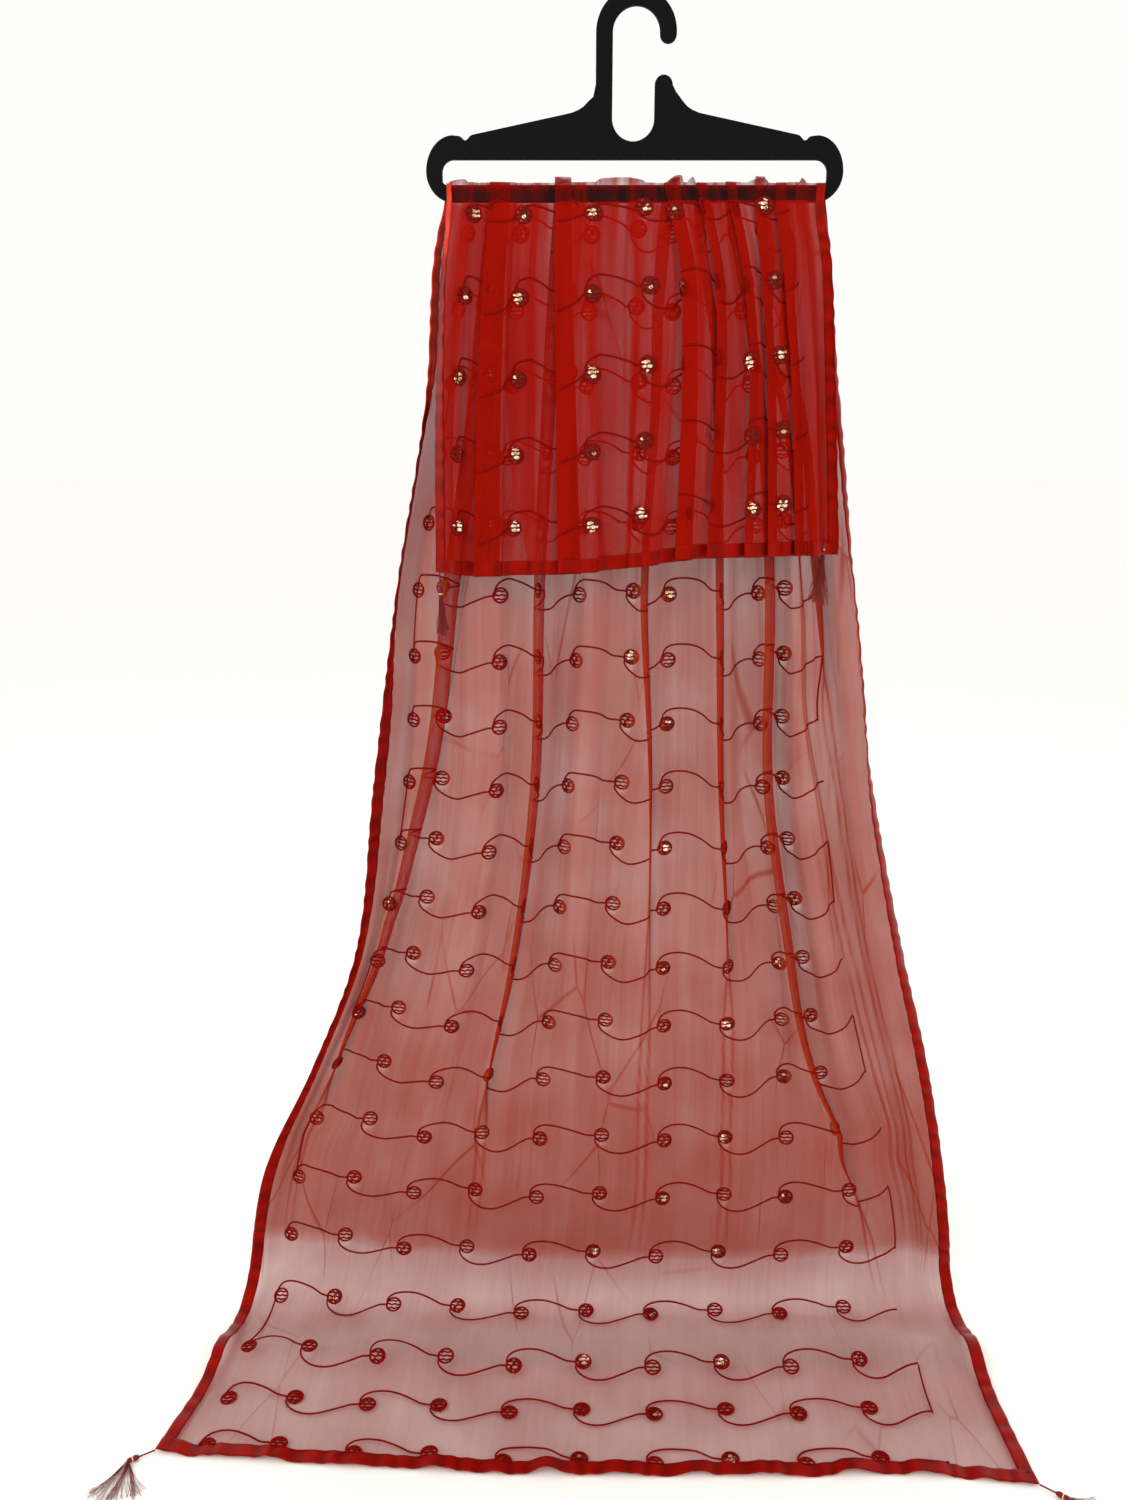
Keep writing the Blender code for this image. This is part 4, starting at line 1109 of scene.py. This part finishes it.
cord = threadMaterial()
sequinFilm = sequinMaterial()


# How far the hem's ribbon lets the embroidery run under it
underHem = cloth["fallLength"] - cloth["ribbon"] + 0.0015


def cordPiece(name, u, v):
    # Cords along rows of flat places, a little flattened where they are sewn down
    point, normal = clothFrame(u, v)
    points, quads = tubes(point, normal, motif["cordRadius"], 5, 0.8)
    return meshPiece(name, points, quads, material=cord)


def scrollPiece(name, rows, up):
    # Next to the bar the scroll is flatter, and at the hem on the floor its lower half lies under the ribbon
    path = scrollPath()
    u = np.broadcast_to(path[:, 0], (len(rows), len(path)))
    rise = np.where(np.abs(rows) < 0.04, 0.5, 1.0)[:, None]
    return cordPiece(name, u, np.minimum(rows[:, None] + up * rise * path[None, :, 1], underHem))


def linkPaths(rows, number):
    # Straight cords from one row to the next at the rows' ends: left after every third row, right after the
    # next
    left = rowPlace(-motif["firstLoop"])
    right = rowPlace(motif["count"] - 1 + motif["lastLoop"])
    paths = []
    for k in range(len(rows) - 1):
        if number[k] % 3 == 2:
            paths.append((left, rows[k], rows[k + 1]))
        if number[k] % 3 == 0:
            paths.append((right, rows[k], rows[k + 1]))
    return np.array(paths)


def linkPiece(name, rows, number):
    # Each link in even steps from its first row to its second
    place, start, end = linkPaths(rows, number).T[:, :, None]
    share = np.linspace(0.0, 1.0, 24)[None, :]
    return cordPiece(name, place, start + (end - start) * share)


def discRing():
    # Rings of six points round a circle: across, up and out
    turn = np.linspace(0, 2 * math.pi, 20, endpoint=False)[:, None]
    around = np.linspace(0, 2 * math.pi, 6, endpoint=False)
    radius = motif["discRadius"] - motif["ringWidth"] / 2 * (1.0 - np.cos(around))
    out = np.broadcast_to(np.sin(around) * motif["ringHeight"], (len(turn), len(around)))
    return np.stack([np.cos(turn) * radius * motif["oval"], np.sin(turn) * radius, out], axis=-1)


def discBar(height):
    # Rings of six points along a wavy line from one side of the disc to the other
    around = np.linspace(0, 2 * math.pi, 6, endpoint=False)
    middle = motif["discRadius"] - motif["ringWidth"] / 2
    half = motif["oval"] * math.sqrt(middle ** 2 - height ** 2)
    along = np.linspace(-half, half, 9)
    wavy = height + motif["barWave"] * np.sin(along * 900.0 + height * 700.0)
    up = wavy[:, None] + motif["barHeight"] / 2 * np.cos(around)
    across = np.broadcast_to(along[:, None], up.shape)
    return np.stack([across, up, np.broadcast_to(motif["barOut"] * np.sin(around), up.shape)], axis=-1)


def discShape():
    # A ring and three wavy satin-stitch bars as closed pads, in metres of across, up and out
    pads = [discRing()] + [discBar(height) for height in motif["bars"]]
    faces = []
    base = 0
    for k, pad in enumerate(pads):
        faces.append(gridQuads(*pad.shape[:2], closed=True, looped=k == 0, base=base))
        base += pad.shape[0] * pad.shape[1]
    return np.vstack([pad.reshape(-1, 3) for pad in pads]), np.vstack(faces)


def sequinSpots(every):
    # Places of the sequins between a disc's bars, each a little astray; unless every, some have come off
    spots = []
    for height, count in sequin["rows"]:
        for across in (np.arange(count) - (count - 1) / 2) * sequin["gap"]:
            k = len(spots)
            spots.append((across + sequin["astray"] * math.sin(9.1 * k),
                          height + sequin["astray"] * math.sin(5.3 * k + 1.0)))
    return [spot for k, spot in enumerate(spots) if every or k * 0.618 % 1.0 < sequin["left"]]


def sequinShape(side, every):
    # Six-sided flat sequins on one side of the cloth: a rim that leans its own way and a middle
    angles = np.linspace(0, 2 * math.pi, 6, endpoint=False)
    points, faces = [], []
    for k, (x, y) in enumerate(sequinSpots(every)):
        lean = np.cos(angles + 2.4 * k) * sequin["tilt"]
        radius = sequin["radius"] * (1.0 + 0.3 * math.sin(7.7 * k))
        rim = [x + radius * np.cos(angles), y + radius * np.sin(angles), side * (sequin["off"] + lean)]
        points.append(np.vstack([np.stack(rim, axis=-1), [[x, y, side * sequin["middleOff"]]]]))
        order = np.arange(6)[::-side]
        faces.append(np.stack([order, np.roll(order, -1), np.full(6, 6)], axis=-1) + 7 * k)
    return np.vstack(points), np.vstack(faces)


def discPlaces(rows, up):
    # Flat places of the discs of these rows, row by row; every second one is set a little higher
    number = np.arange(motif["count"])
    u, v = np.meshgrid(rowPlace(number), rows)
    v = v + up * motif["oddRise"] * (number % 2)
    return u.reshape(-1, 1), v.reshape(-1, 1)


def stampPiece(name, shape, places, up, material, values=None):
    # The shape laid at each disc's place: mostly flat and stiff on the cloth there, partly bent with it, and
    # turned less than the cloth, which the stiff stitching pulls straight
    local, faces = shape
    u0, v0 = places
    u, v, out = u0 + local[None, :, 0], v0 + up * local[None, :, 1], local[None, :, 2:]
    point, normal = clothFrame(u, v)
    bent = point + normal * out
    reach = motif["stiffReach"]
    across = unit(lookUp(clothPoints, u0 + reach, v0) - lookUp(clothPoints, u0 - reach, v0))
    across = unit(across + (motif["level"], 0.0, 0.0))
    upward = lookUp(clothPoints, u0, v0 + reach) - lookUp(clothPoints, u0, v0 - reach)
    outward = unit(np.cross(upward, across))
    upward = up * np.cross(across, outward)
    middle = lookUp(clothPoints, u0, v0)
    stiff = middle + across * local[None, :, :1] + upward * local[None, :, 1:2] + outward * out
    placed = bent + motif["stiff"] * (stiff - bent)
    # What the hem ribbon covers is pressed flat along its inner edge
    edge, edgeNormal = clothFrame(u, np.minimum(v, underHem))
    placed = np.where((v > underHem)[..., None], edge + edgeNormal * out, placed)
    count, size = placed.shape[:2]
    every = (faces[None, :, :] + size * np.arange(count)[:, None, None]).reshape(-1, faces.shape[1])
    return meshPiece(name, placed.reshape(-1, 3), every, values=values, material=material)


def sequinPiece(name, places, up, side, bright, every=True):
    # Sequins of the discs: those near a spot of its own on each disc get a painted glint, a painted
    # highlight, over a wide patch on the share of discs called bright and over a small one on the rest; the
    # others are painted dark
    shape = sequinShape(side, every)
    number = np.arange(len(places[0]))
    wide, small = sequin["glintReach"]
    reach = np.where(np.modf(number * 0.754877 + 0.31)[0] < bright, wide, small)[:, None]
    each = np.modf(np.arange(len(shape[0]) // 7) * 0.618 + number[:, None] * 0.37)[0]
    middle = shape[0][6::7, :2]
    spot = sequin["gap"] * np.stack([np.cos(2.4 * number), np.sin(2.4 * number)], axis=-1)[:, None, :]
    near = np.linalg.norm(middle[None] - spot, axis=-1) < reach * (0.7 + 0.6 * each)
    # Painted light: near sequins get a painted highlight, the rest a painted dark reflection
    glint = np.repeat(np.where(near, 0.45 + 0.55 * each, 0.02 * each).ravel(), 7)
    return stampPiece(name, shape, places, up, sequinFilm, {"glint": glint})


def embroidery():
    # The right side of the cloth has the sequins: the flap's front and the fall's back, where many have come
    # off. A few discs show them inside. The last row on the fall has a link to the first one on the floor
    flap, fall = rowStarts()
    number = np.arange(motif["fallRows"])
    high = fall < cloth["floorStart"] - 0.012
    last = number == high.sum() - 1
    made = {}
    for run, rows, up in (("flap", flap, 1), ("fall", fall[high], -1), ("floor", fall[~high], -1)):
        places = discPlaces(rows, up)
        onFlap = run == "flap"
        made[run] = [scrollPiece("cord_rows_" + run, rows, up),
                     stampPiece("cord_discs_" + run, discShape(), places, up, cord)]
        share = np.modf(np.arange(len(places[0])) * 0.5497 + 0.13)[0]
        some = [part[share < (1.0 if onFlap else sequin["backDiscs"])] for part in places]
        made[run].append(sequinPiece("sequins_" + run, some, up, -1, sequin["brightDiscs"], onFlap))
        if not onFlap:
            few = [part[share > 1.0 - sequin["insideDiscs"]] for part in places]
            made[run].append(sequinPiece("sequins_inside_" + run, few, up, 1, sequin["brightInside"]))
    made["fall"].append(linkPiece("cord_links_fall", fall[high], number[high]))
    made["floor"].append(linkPiece("cord_links_floor", fall[~high | last], number[~high | last]))
    return made


sewn = embroidery()
print("stage: embroidery made")

# Tassels of rayon thread: a hanging thread, a bound head with a metallic wrap, and loose strands below it
tassel = {
    "strands": 62,
    "strandRadius": 0.00027,
    "strandStart": 0.0255,
    "footRadius": 0.0021,
    "wander": 0.0016,
    "headShade": 0.4,
    "headSides": 12,
    "wrapSides": 16,
    "wrapTurn": 0.000785,
    "wrapRough": (0.2, 0.45),
    "deep": "#6C0705",
    "end": "#8C241D",
    "smoky": "#A8988F",
    "wrap": "#E7CF97",
}

# Distance from the cloth and radius, in millimetres: the hanging thread with the bound head, and the wrap's
# ring
headProfile = np.array([
    (0.0, 0.4), (0.2, 0.8), (13.0, 0.8), (15.0, 0.9), (16.2, 2.1), (17.8, 2.7), (19.2, 3.0), (20.5, 2.7),
    (21.2, 2.3), (22.2, 2.2), (23.2, 2.4), (24.6, 2.6), (26.0, 2.4), (26.8, 1.2), (26.9, 0.1),
]) / 1000.0
wrapProfile = np.array([(20.9, 1.8), (21.2, 2.55), (21.7, 2.7), (22.2, 2.55), (22.5, 1.8)]) / 1000.0

# Where each is sewn on and the way that it hangs or lies; lift is its height over the floor. Those that lie
# part into bundles, whose headings are in degrees, as are both ends of the fan of loose strands
tasselPlaces = {
    "tassel_flap_left": {
        "u": cloth["ribbon"] / 2,
        "v": -cloth["flapLength"],
        "way": (0.03, -0.02, -1.0),
        "strand": 0.040,
        "spread": 0.0045,
        "lift": 0.0,
    },
    "tassel_flap_right": {
        "u": cloth["width"] - 1.2 * cloth["ribbon"],
        "v": -cloth["flapLength"] + 0.027,
        "way": (-0.02, 0.10, -1.0),
        "strand": 0.054,
        "spread": 0.0095,
        "lift": 0.0,
    },
    "tassel_hem_left": {
        "u": 0.0,
        "v": cloth["fallLength"],
        "way": (-0.87, -0.50, 0.0),
        "strand": 0.046,
        "spread": 0.020,
        "lift": 0.0036,
        "bundles": (-119, -92, -60),
        "fan": (-122, -52),
    },
    "tassel_hem_right": {
        "u": cloth["width"],
        "v": cloth["fallLength"],
        "way": (0.80, -0.60, 0.0),
        "strand": 0.031,
        "spread": 0.013,
        "lift": 0.0036,
        "bundles": (-42, -26, -6),
        "fan": (-46, 0),
    },
}


def strandMaterial():
    # Rayon floss: dark red, lighter towards the ends, and smoky where strands lie singly, with a faint gloss
    material, tree, shader = newMaterial("Rayon floss, loose", {
        "Roughness": 0.42,
        "Specular IOR Level": 0.25,
        "Sheen Weight": 0.08,
    })
    along, shade, smoky = (addNode(tree, "Attribute", attribute_name=name).outputs["Fac"]
                           for name in ("along", "shade", "smoky"))
    total = addNode(tree, "Math", links={0: along, 1: shade}, operation="MULTIPLY")
    red = addNode(tree, "Mix", {6: linear(tassel["deep"]), 7: linear(tassel["end"])}, {0: total.outputs[0]},
                  data_type="RGBA")
    colour = addNode(tree, "Mix", {7: linear(tassel["smoky"])}, {0: smoky, 6: red.outputs[2]},
                     data_type="RGBA")
    join(tree, shader, {"Base Color": colour.outputs[2]})
    return material


def wrapMaterial():
    # Metallised thread wound on the tassel's head, 0.8 mm a turn: one small pale glint
    material, tree, shader = newMaterial("Metallised thread, wound", {
        "Base Color": tassel["wrap"],
        "Metallic": 0.8,
    })
    place = addNode(tree, "TexCoord").outputs["Object"]
    turns = addNode(tree, "TexWave", {"Scale": waveBands / tassel["wrapTurn"]}, {"Vector": place},
                    bands_direction="Z")
    rough = addNode(tree, "MapRange", ends(*tassel["wrapRough"]), {"Value": turns.outputs["Fac"]})
    join(tree, shader, {"Roughness": rough.outputs[0]})
    return material


floss = strandMaterial()
metalWrap = wrapMaterial()


def tasselAxes(spec):
    # Where the tassel starts, its way, and two directions square to it: sideways, and off the floor or the
    # cloth
    way = unit(np.array(spec["way"], float))
    up = np.array([0.0, 0.0, 1.0]) if spec["lift"] else np.array([0.0, -1.0, 0.0])
    side = unit(np.cross(up, way))
    start = lookUp(clothPoints, np.array([[spec["u"]]]), np.array([[spec["v"]]]))[0, 0].copy()
    if spec["lift"]:
        start[2] = cloth["floor"] + spec["lift"]
    return start, way, side, np.cross(way, side)


def turnedPiece(name, axes, profile, sides, values, material):
    # Rings of the profile's radii round the tassel's way, at its distances along it
    start, way, side, up = axes
    angles = 2 * math.pi * np.arange(sides)[:, None] / sides
    spokes = np.cos(angles) * side + np.sin(angles) * up
    distance, radius = profile.T[:, :, None, None]
    rings = start + way * distance + radius * spokes
    return gridPiece(name, rings[:, ::-1], None, values, material, closed=True)


def strandShare():
    # Nine places along each strand, from the head's foot to its end
    return np.linspace(0.0, 1.0, 9)[None, :]


def hangingStrands(spec, length, reach, golden):
    # From spots in the head's foot, each strand opens out to its side and sags
    share = strandShare()
    number = np.arange(len(golden))[:, None]
    out = spec["spread"] * reach * share ** 1.3
    foot = tassel["footRadius"] * reach
    forward = tassel["strandStart"] + length * share - out ** 2 / 0.06
    sideways = (foot + out) * np.cos(golden) + tassel["wander"] * np.sin(9.0 * share + 7.0 * number) * share
    upwards = (foot + 0.55 * out) * np.sin(golden)
    return forward, sideways, upwards, np.zeros(forward.shape)


def lyingStrands(spec, length, reach, golden, axes):
    # On the floor the strands part into dark bundles, with smoky single ones fanned out between them. Each
    # turns to its own heading, curls a little and sinks from the head's foot to the floor
    start, way, side = axes[:3]
    share = strandShare()
    number = np.arange(len(golden))
    loose = number % 5 > 2
    heading = np.array(spec["bundles"])[number % 3] + 9.0 * (np.modf(number * 0.618)[0] - 0.5)
    first, last = spec["fan"]
    heading = np.where(loose, first + (last - first) * np.modf(number * 0.3819)[0], heading)
    turn = np.radians(heading)[:, None] + 0.25 * np.sin(5.0 * number)[:, None] * (share - 0.4)
    ahead = way[0] * np.cos(turn) + way[1] * np.sin(turn)
    across = side[0] * np.cos(turn) + side[1] * np.sin(turn)
    forward = tassel["strandStart"] + length * share * ahead
    sideways = tassel["footRadius"] * reach * np.cos(golden) + length * share * across
    sink = cloth["floor"] + 0.0005 + 0.0012 * np.modf(number * 0.382)[0][:, None] - start[2]
    curl = 0.0008 * np.abs(np.sin(9.0 * share + 7.0 * number[:, None]) * share)
    upwards = tassel["footRadius"] * reach * np.sin(golden) * (1 - share) ** 2 + sink * (1 - (1 - share) ** 3)
    smoky = np.where(loose[:, None], clamp(0.25 + 2.0 * share), 0.5 * share ** 2)
    return forward, sideways, upwards + curl, smoky


def strandPiece(name, spec, axes):
    # Strands of the tassel's count, each with its own length, laid out round the head's foot by the golden
    # angle
    start, way, side, up = axes
    count = tassel["strands"]
    number = np.arange(count)[:, None]
    golden = number * 2.399963
    reach = np.sqrt((number + 0.5) / count)
    length = spec["strand"] * (0.86 + 0.16 * np.modf(number * 0.618)[0])
    if spec["lift"]:
        forward, sideways, upwards, smoky = lyingStrands(spec, length, reach, golden, axes)
    else:
        forward, sideways, upwards, smoky = hangingStrands(spec, length, reach, golden)
    paths = start + way * forward[..., None] + side * sideways[..., None] + up * upwards[..., None]
    sides = 4
    points, quads = tubes(paths, np.broadcast_to(up, paths.shape), tassel["strandRadius"], sides)
    values = {"along": strandShare(), "shade": 0.5 + 0.5 * np.modf(number * 0.271)[0], "smoky": smoky}
    values = {key: np.repeat(np.broadcast_to(value, smoky.shape), sides) for key, value in values.items()}
    return meshPiece(name, points, quads, values=values, material=floss)


def buildTassel(name, spec):
    # The hanging thread with its bound head, the wrap round the head's neck, and the loose strands
    axes = tasselAxes(spec)
    along = np.zeros((len(headProfile), tassel["headSides"]))
    shades = {"along": along, "shade": along + tassel["headShade"]}
    head = turnedPiece(name + "_head", axes, headProfile, tassel["headSides"], shades, floss)
    wrap = turnedPiece(name + "_wrap", axes, wrapProfile, tassel["wrapSides"], None, metalWrap)
    strands = strandPiece(name + "_strands", spec, axes)
    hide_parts(name)
    return [head, wrap, strands]


tassels = {name: buildTassel(name, spec) for name, spec in tasselPlaces.items()}
print("stage: tassels made")

# Hanger: one flat moulded piece with rounded edges. Sizes in millimetres from the bar line
hanger = {
    "endX": 172.5,
    "endZ": 9.4,
    "endRadius": 26.6,
    "endRise": 32.3,
    "gapRadius": 11.0,
    "gapCorner": 4.0,
    "notchX": 161.0,
    "notchZ": 37.2,
    "notchHalf": 7.5,
    "notchRise": 4.6,
    "notchTilt": 0.6,
    "neckX": 62.0,
    "neckZ": 60.6,
    "neckCurve": ((4, -0.8), (-2, 0.5), (-8, 2.8), (-13, 5.8), (-17, 9.8)),
    "stemX": 37.6,
    "hookZ": 129.1,
    "hookInner": 21.9,
    "hookOuter": 37.6,
    "tipZ": 124.6,
    "slotLeft": -22.0,
    "slotRight": 17.8,
    "slotZ": 56.3,
    "prongTop": 93.4,
    "prongRight": 34.6,
    "halfThickness": 2.5,
    "edge": 0.9,
    "colour": "#08090B",
    "grain": 0.001111,
    "scuff": 0.0357,
    "rough": (0.42, 0.6),
}


def arc(x, z, radius, start, end, count):
    # Points round a circle, from start to end in degrees
    angles = np.radians(np.linspace(start, end, count))
    return np.column_stack([x + radius * np.cos(angles), z + radius * np.sin(angles)]).tolist()


def hangerOutlines():
    # Outside: end loop, shoulder, prong, slot, hook and stem, with the shoulder mirrored on the left.
    # Inside: the gap over the bar
    h = hanger
    right = arc(h["endX"], h["endZ"], h["endRadius"], -90, 0, 20)
    over = np.radians(np.linspace(4, 88, 20))
    right += np.column_stack([h["endX"] + h["endRadius"] * np.cos(over),
                              h["endZ"] + h["endRise"] * np.sin(over)]).tolist()
    notch = np.linspace(1.0, -1.0, 13)
    dip = h["notchRise"] * (1.0 - np.exp(-4.0 * notch ** 2)) - h["notchTilt"] * notch
    right += np.column_stack([h["notchX"] + h["notchHalf"] * notch, h["notchZ"] + dip]).tolist()
    right += [(h["neckX"] + x, h["neckZ"] + z) for x, z in h["neckCurve"]]
    prongRadius = (h["prongRight"] - h["slotRight"]) / 2
    slotRadius = (h["slotRight"] - h["slotLeft"]) / 2
    tipRadius = (h["hookOuter"] - h["hookInner"]) / 2
    middle = [(h["prongRight"] + 3.0, h["prongTop"] - 14.0)]
    middle += arc(h["slotRight"] + prongRadius, h["prongTop"] - prongRadius, prongRadius, 0, 180, 24)
    middle += arc(h["slotLeft"] + slotRadius, h["slotZ"], slotRadius, 0, -180, 36)
    middle += arc(0.0, h["hookZ"], h["hookInner"], 180, 0, 40)
    middle += arc(h["hookInner"] + tipRadius, h["tipZ"] + 3.0, tipRadius, 180, 360, 20)
    middle += arc(0.0, h["hookZ"], h["hookOuter"], 0, 180, 56)
    middle += [(-h["stemX"], h["neckZ"] + 25.0), (-h["stemX"] - 2.4, h["neckZ"] + 14.0)]
    outside = right + middle + [(-x, z) for x, z in reversed(right)]
    end = h["endX"] + h["gapRadius"] - h["gapCorner"]
    gap = arc(end, h["endZ"] - h["gapRadius"] + h["gapCorner"], h["gapCorner"], -90, 0, 10)
    gap += arc(h["endX"], h["endZ"], h["gapRadius"], 0, 90, 20)
    gap += [(-x, z) for x, z in reversed(gap)]
    return outside, gap


def hangerMaterial():
    # Injection-moulded polypropylene, black: matte, with a fine spark-eroded grain, drawn at 1.1 mm so that
    # it shows, and soft scuffs
    material, tree, shader = newMaterial("Polypropylene, moulded black", {
        "Base Color": hanger["colour"],
        "Specular IOR Level": 0.07,
    })
    place = addNode(tree, "TexCoord").outputs["Object"]
    grain = addNode(tree, "TexNoise", {"Scale": 1.0 / hanger["grain"], "Detail": 2.0}, {"Vector": place})
    scuff = addNode(tree, "TexNoise", {"Scale": 1.0 / hanger["scuff"], "Detail": 4.0}, {"Vector": place})
    rough = addNode(tree, "MapRange", ends(*hanger["rough"]), {"Value": scuff.outputs["Fac"]})
    bump = addNode(tree, "Bump", {"Strength": 0.15, "Distance": 0.0002}, {"Height": grain.outputs["Fac"]})
    join(tree, shader, {"Roughness": rough.outputs[0], "Normal": bump.outputs[0]})
    return material


def buildHanger():
    # A filled flat curve with a rounded edge, turned upright and made a mesh
    curve = bpy.data.curves.new("hanger_outline", "CURVE")
    curve.dimensions = "2D"
    curve.fill_mode = "BOTH"
    curve.extrude = (hanger["halfThickness"] - hanger["edge"]) / 1000.0
    curve.bevel_depth = hanger["edge"] / 1000.0
    curve.offset = -hanger["edge"] / 1000.0
    curve.bevel_resolution = 3
    for outline in hangerOutlines():
        spline = curve.splines.new("POLY")
        spline.points.add(len(outline) - 1)
        spline.use_cyclic_u = True
        flat = np.array([(x / 1000.0, z / 1000.0, 0.0, 1.0) for x, z in outline])
        spline.points.foreach_set("co", flat.ravel())
    holder = bpy.data.objects.new("hanger_curve", curve)
    mesh = bpy.data.meshes.new_from_object(holder)
    bpy.data.objects.remove(holder)
    points = np.zeros(len(mesh.vertices) * 3)
    mesh.vertices.foreach_get("co", points)
    points = points.reshape(-1, 3)
    upright = np.column_stack([points[:, 0], -points[:, 2], points[:, 1] + cloth["barLine"]])
    mesh.vertices.foreach_set("co", upright.ravel())
    mesh.name = "hanger_body"
    mesh.materials.clear()
    mesh.materials.append(hangerMaterial())
    mesh.shade_smooth()
    mesh.set_sharp_from_angle(angle=math.radians(40))
    piece = bpy.data.objects.new("hanger_body", mesh)
    bpy.context.scene.collection.objects.link(piece)
    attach(piece, "root")
    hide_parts("hanger")
    return piece


hangerBody = buildHanger()
print("stage: hanger made")

# Room: a pale floor, a pale sky and soft lamps
room = {
    "reach": 60.0,
    "floor": "#FFFEFC",
    "sky": "#FFFEFC",
    "skyStrength": 1.0,
    "lampTarget": (0.0, -0.05, -0.65),
    "lamps": {
        "key": {"place": (-1.6, -1.9, 1.2), "size": 1.6, "power": 30.0, "colour": "#FFF0E0"},
        "fill": {"place": (1.9, -1.3, 0.3), "size": 1.8, "power": 10.0, "colour": "#FFF4E8"},
        "back": {"place": (0.4, 1.9, 0.9), "size": 1.6, "power": 8.0, "colour": "#FFFFFF"},
    },
}


def buildFloor():
    # A disc of 60 sides, wide enough to reach the horizon
    mesh = bpy.data.meshes.new("floor")
    rim = arc(0.0, 0.0, room["reach"], 0, 354, 60)
    mesh.from_pydata([(x, y, cloth["floor"]) for x, y in rim], [], [tuple(range(len(rim)))])
    # Pale matte paint, rolled on: next to no reflection
    material, _, _ = newMaterial("Floor, painted pale", {"Base Color": room["floor"], "Roughness": 0.7})
    mesh.materials.append(material)
    floor = bpy.data.objects.new("floor", mesh)
    bpy.context.scene.collection.objects.link(floor)
    return floor


def buildLamps():
    # Round soft lamps, each turned to the same spot
    for name, lamp in room["lamps"].items():
        light = bpy.data.lights.new(name, "AREA")
        light.shape = "DISK"
        light.size = lamp["size"]
        light.energy = lamp["power"]
        light.color = linear(lamp["colour"])[:3]
        holder = bpy.data.objects.new(name, light)
        holder.location = lamp["place"]
        ahead = unit(np.array(room["lampTarget"]) - lamp["place"])
        pitch = math.acos(-ahead[2])
        heading = math.atan2(ahead[1], ahead[0]) - math.pi / 2
        holder.rotation_euler = (pitch, 0.0, heading)
        bpy.context.scene.collection.objects.link(holder)


def buildSky():
    # One even colour all round
    world = bpy.data.worlds.new("sky")
    world.use_nodes = True
    back = world.node_tree.nodes["Background"]
    back.inputs["Color"].default_value = linear(room["sky"])
    back.inputs["Strength"].default_value = room["skyStrength"]
    bpy.context.scene.world = world


# Camera 1.2 m in front of the cloth, turned 14 degrees down from level
view = {
    "place": (-0.067, -1.2, -0.411),
    "tilt": 76.0,
    "lens": 27.6,
    "sensor": 36.0,
}


def buildCamera():
    # tilt is counted from straight down
    data = bpy.data.cameras.new("camera")
    data.lens = view["lens"]
    data.sensor_width = view["sensor"]
    camera = bpy.data.objects.new("camera", data)
    camera.location = view["place"]
    camera.rotation_euler = (math.radians(view["tilt"]), 0.0, 0.0)
    bpy.context.scene.collection.objects.link(camera)
    bpy.context.scene.camera = camera


floor = buildFloor()
buildLamps()
buildSky()
buildCamera()
bpy.context.scene.view_settings.view_transform = "Standard"

print("stage: done")
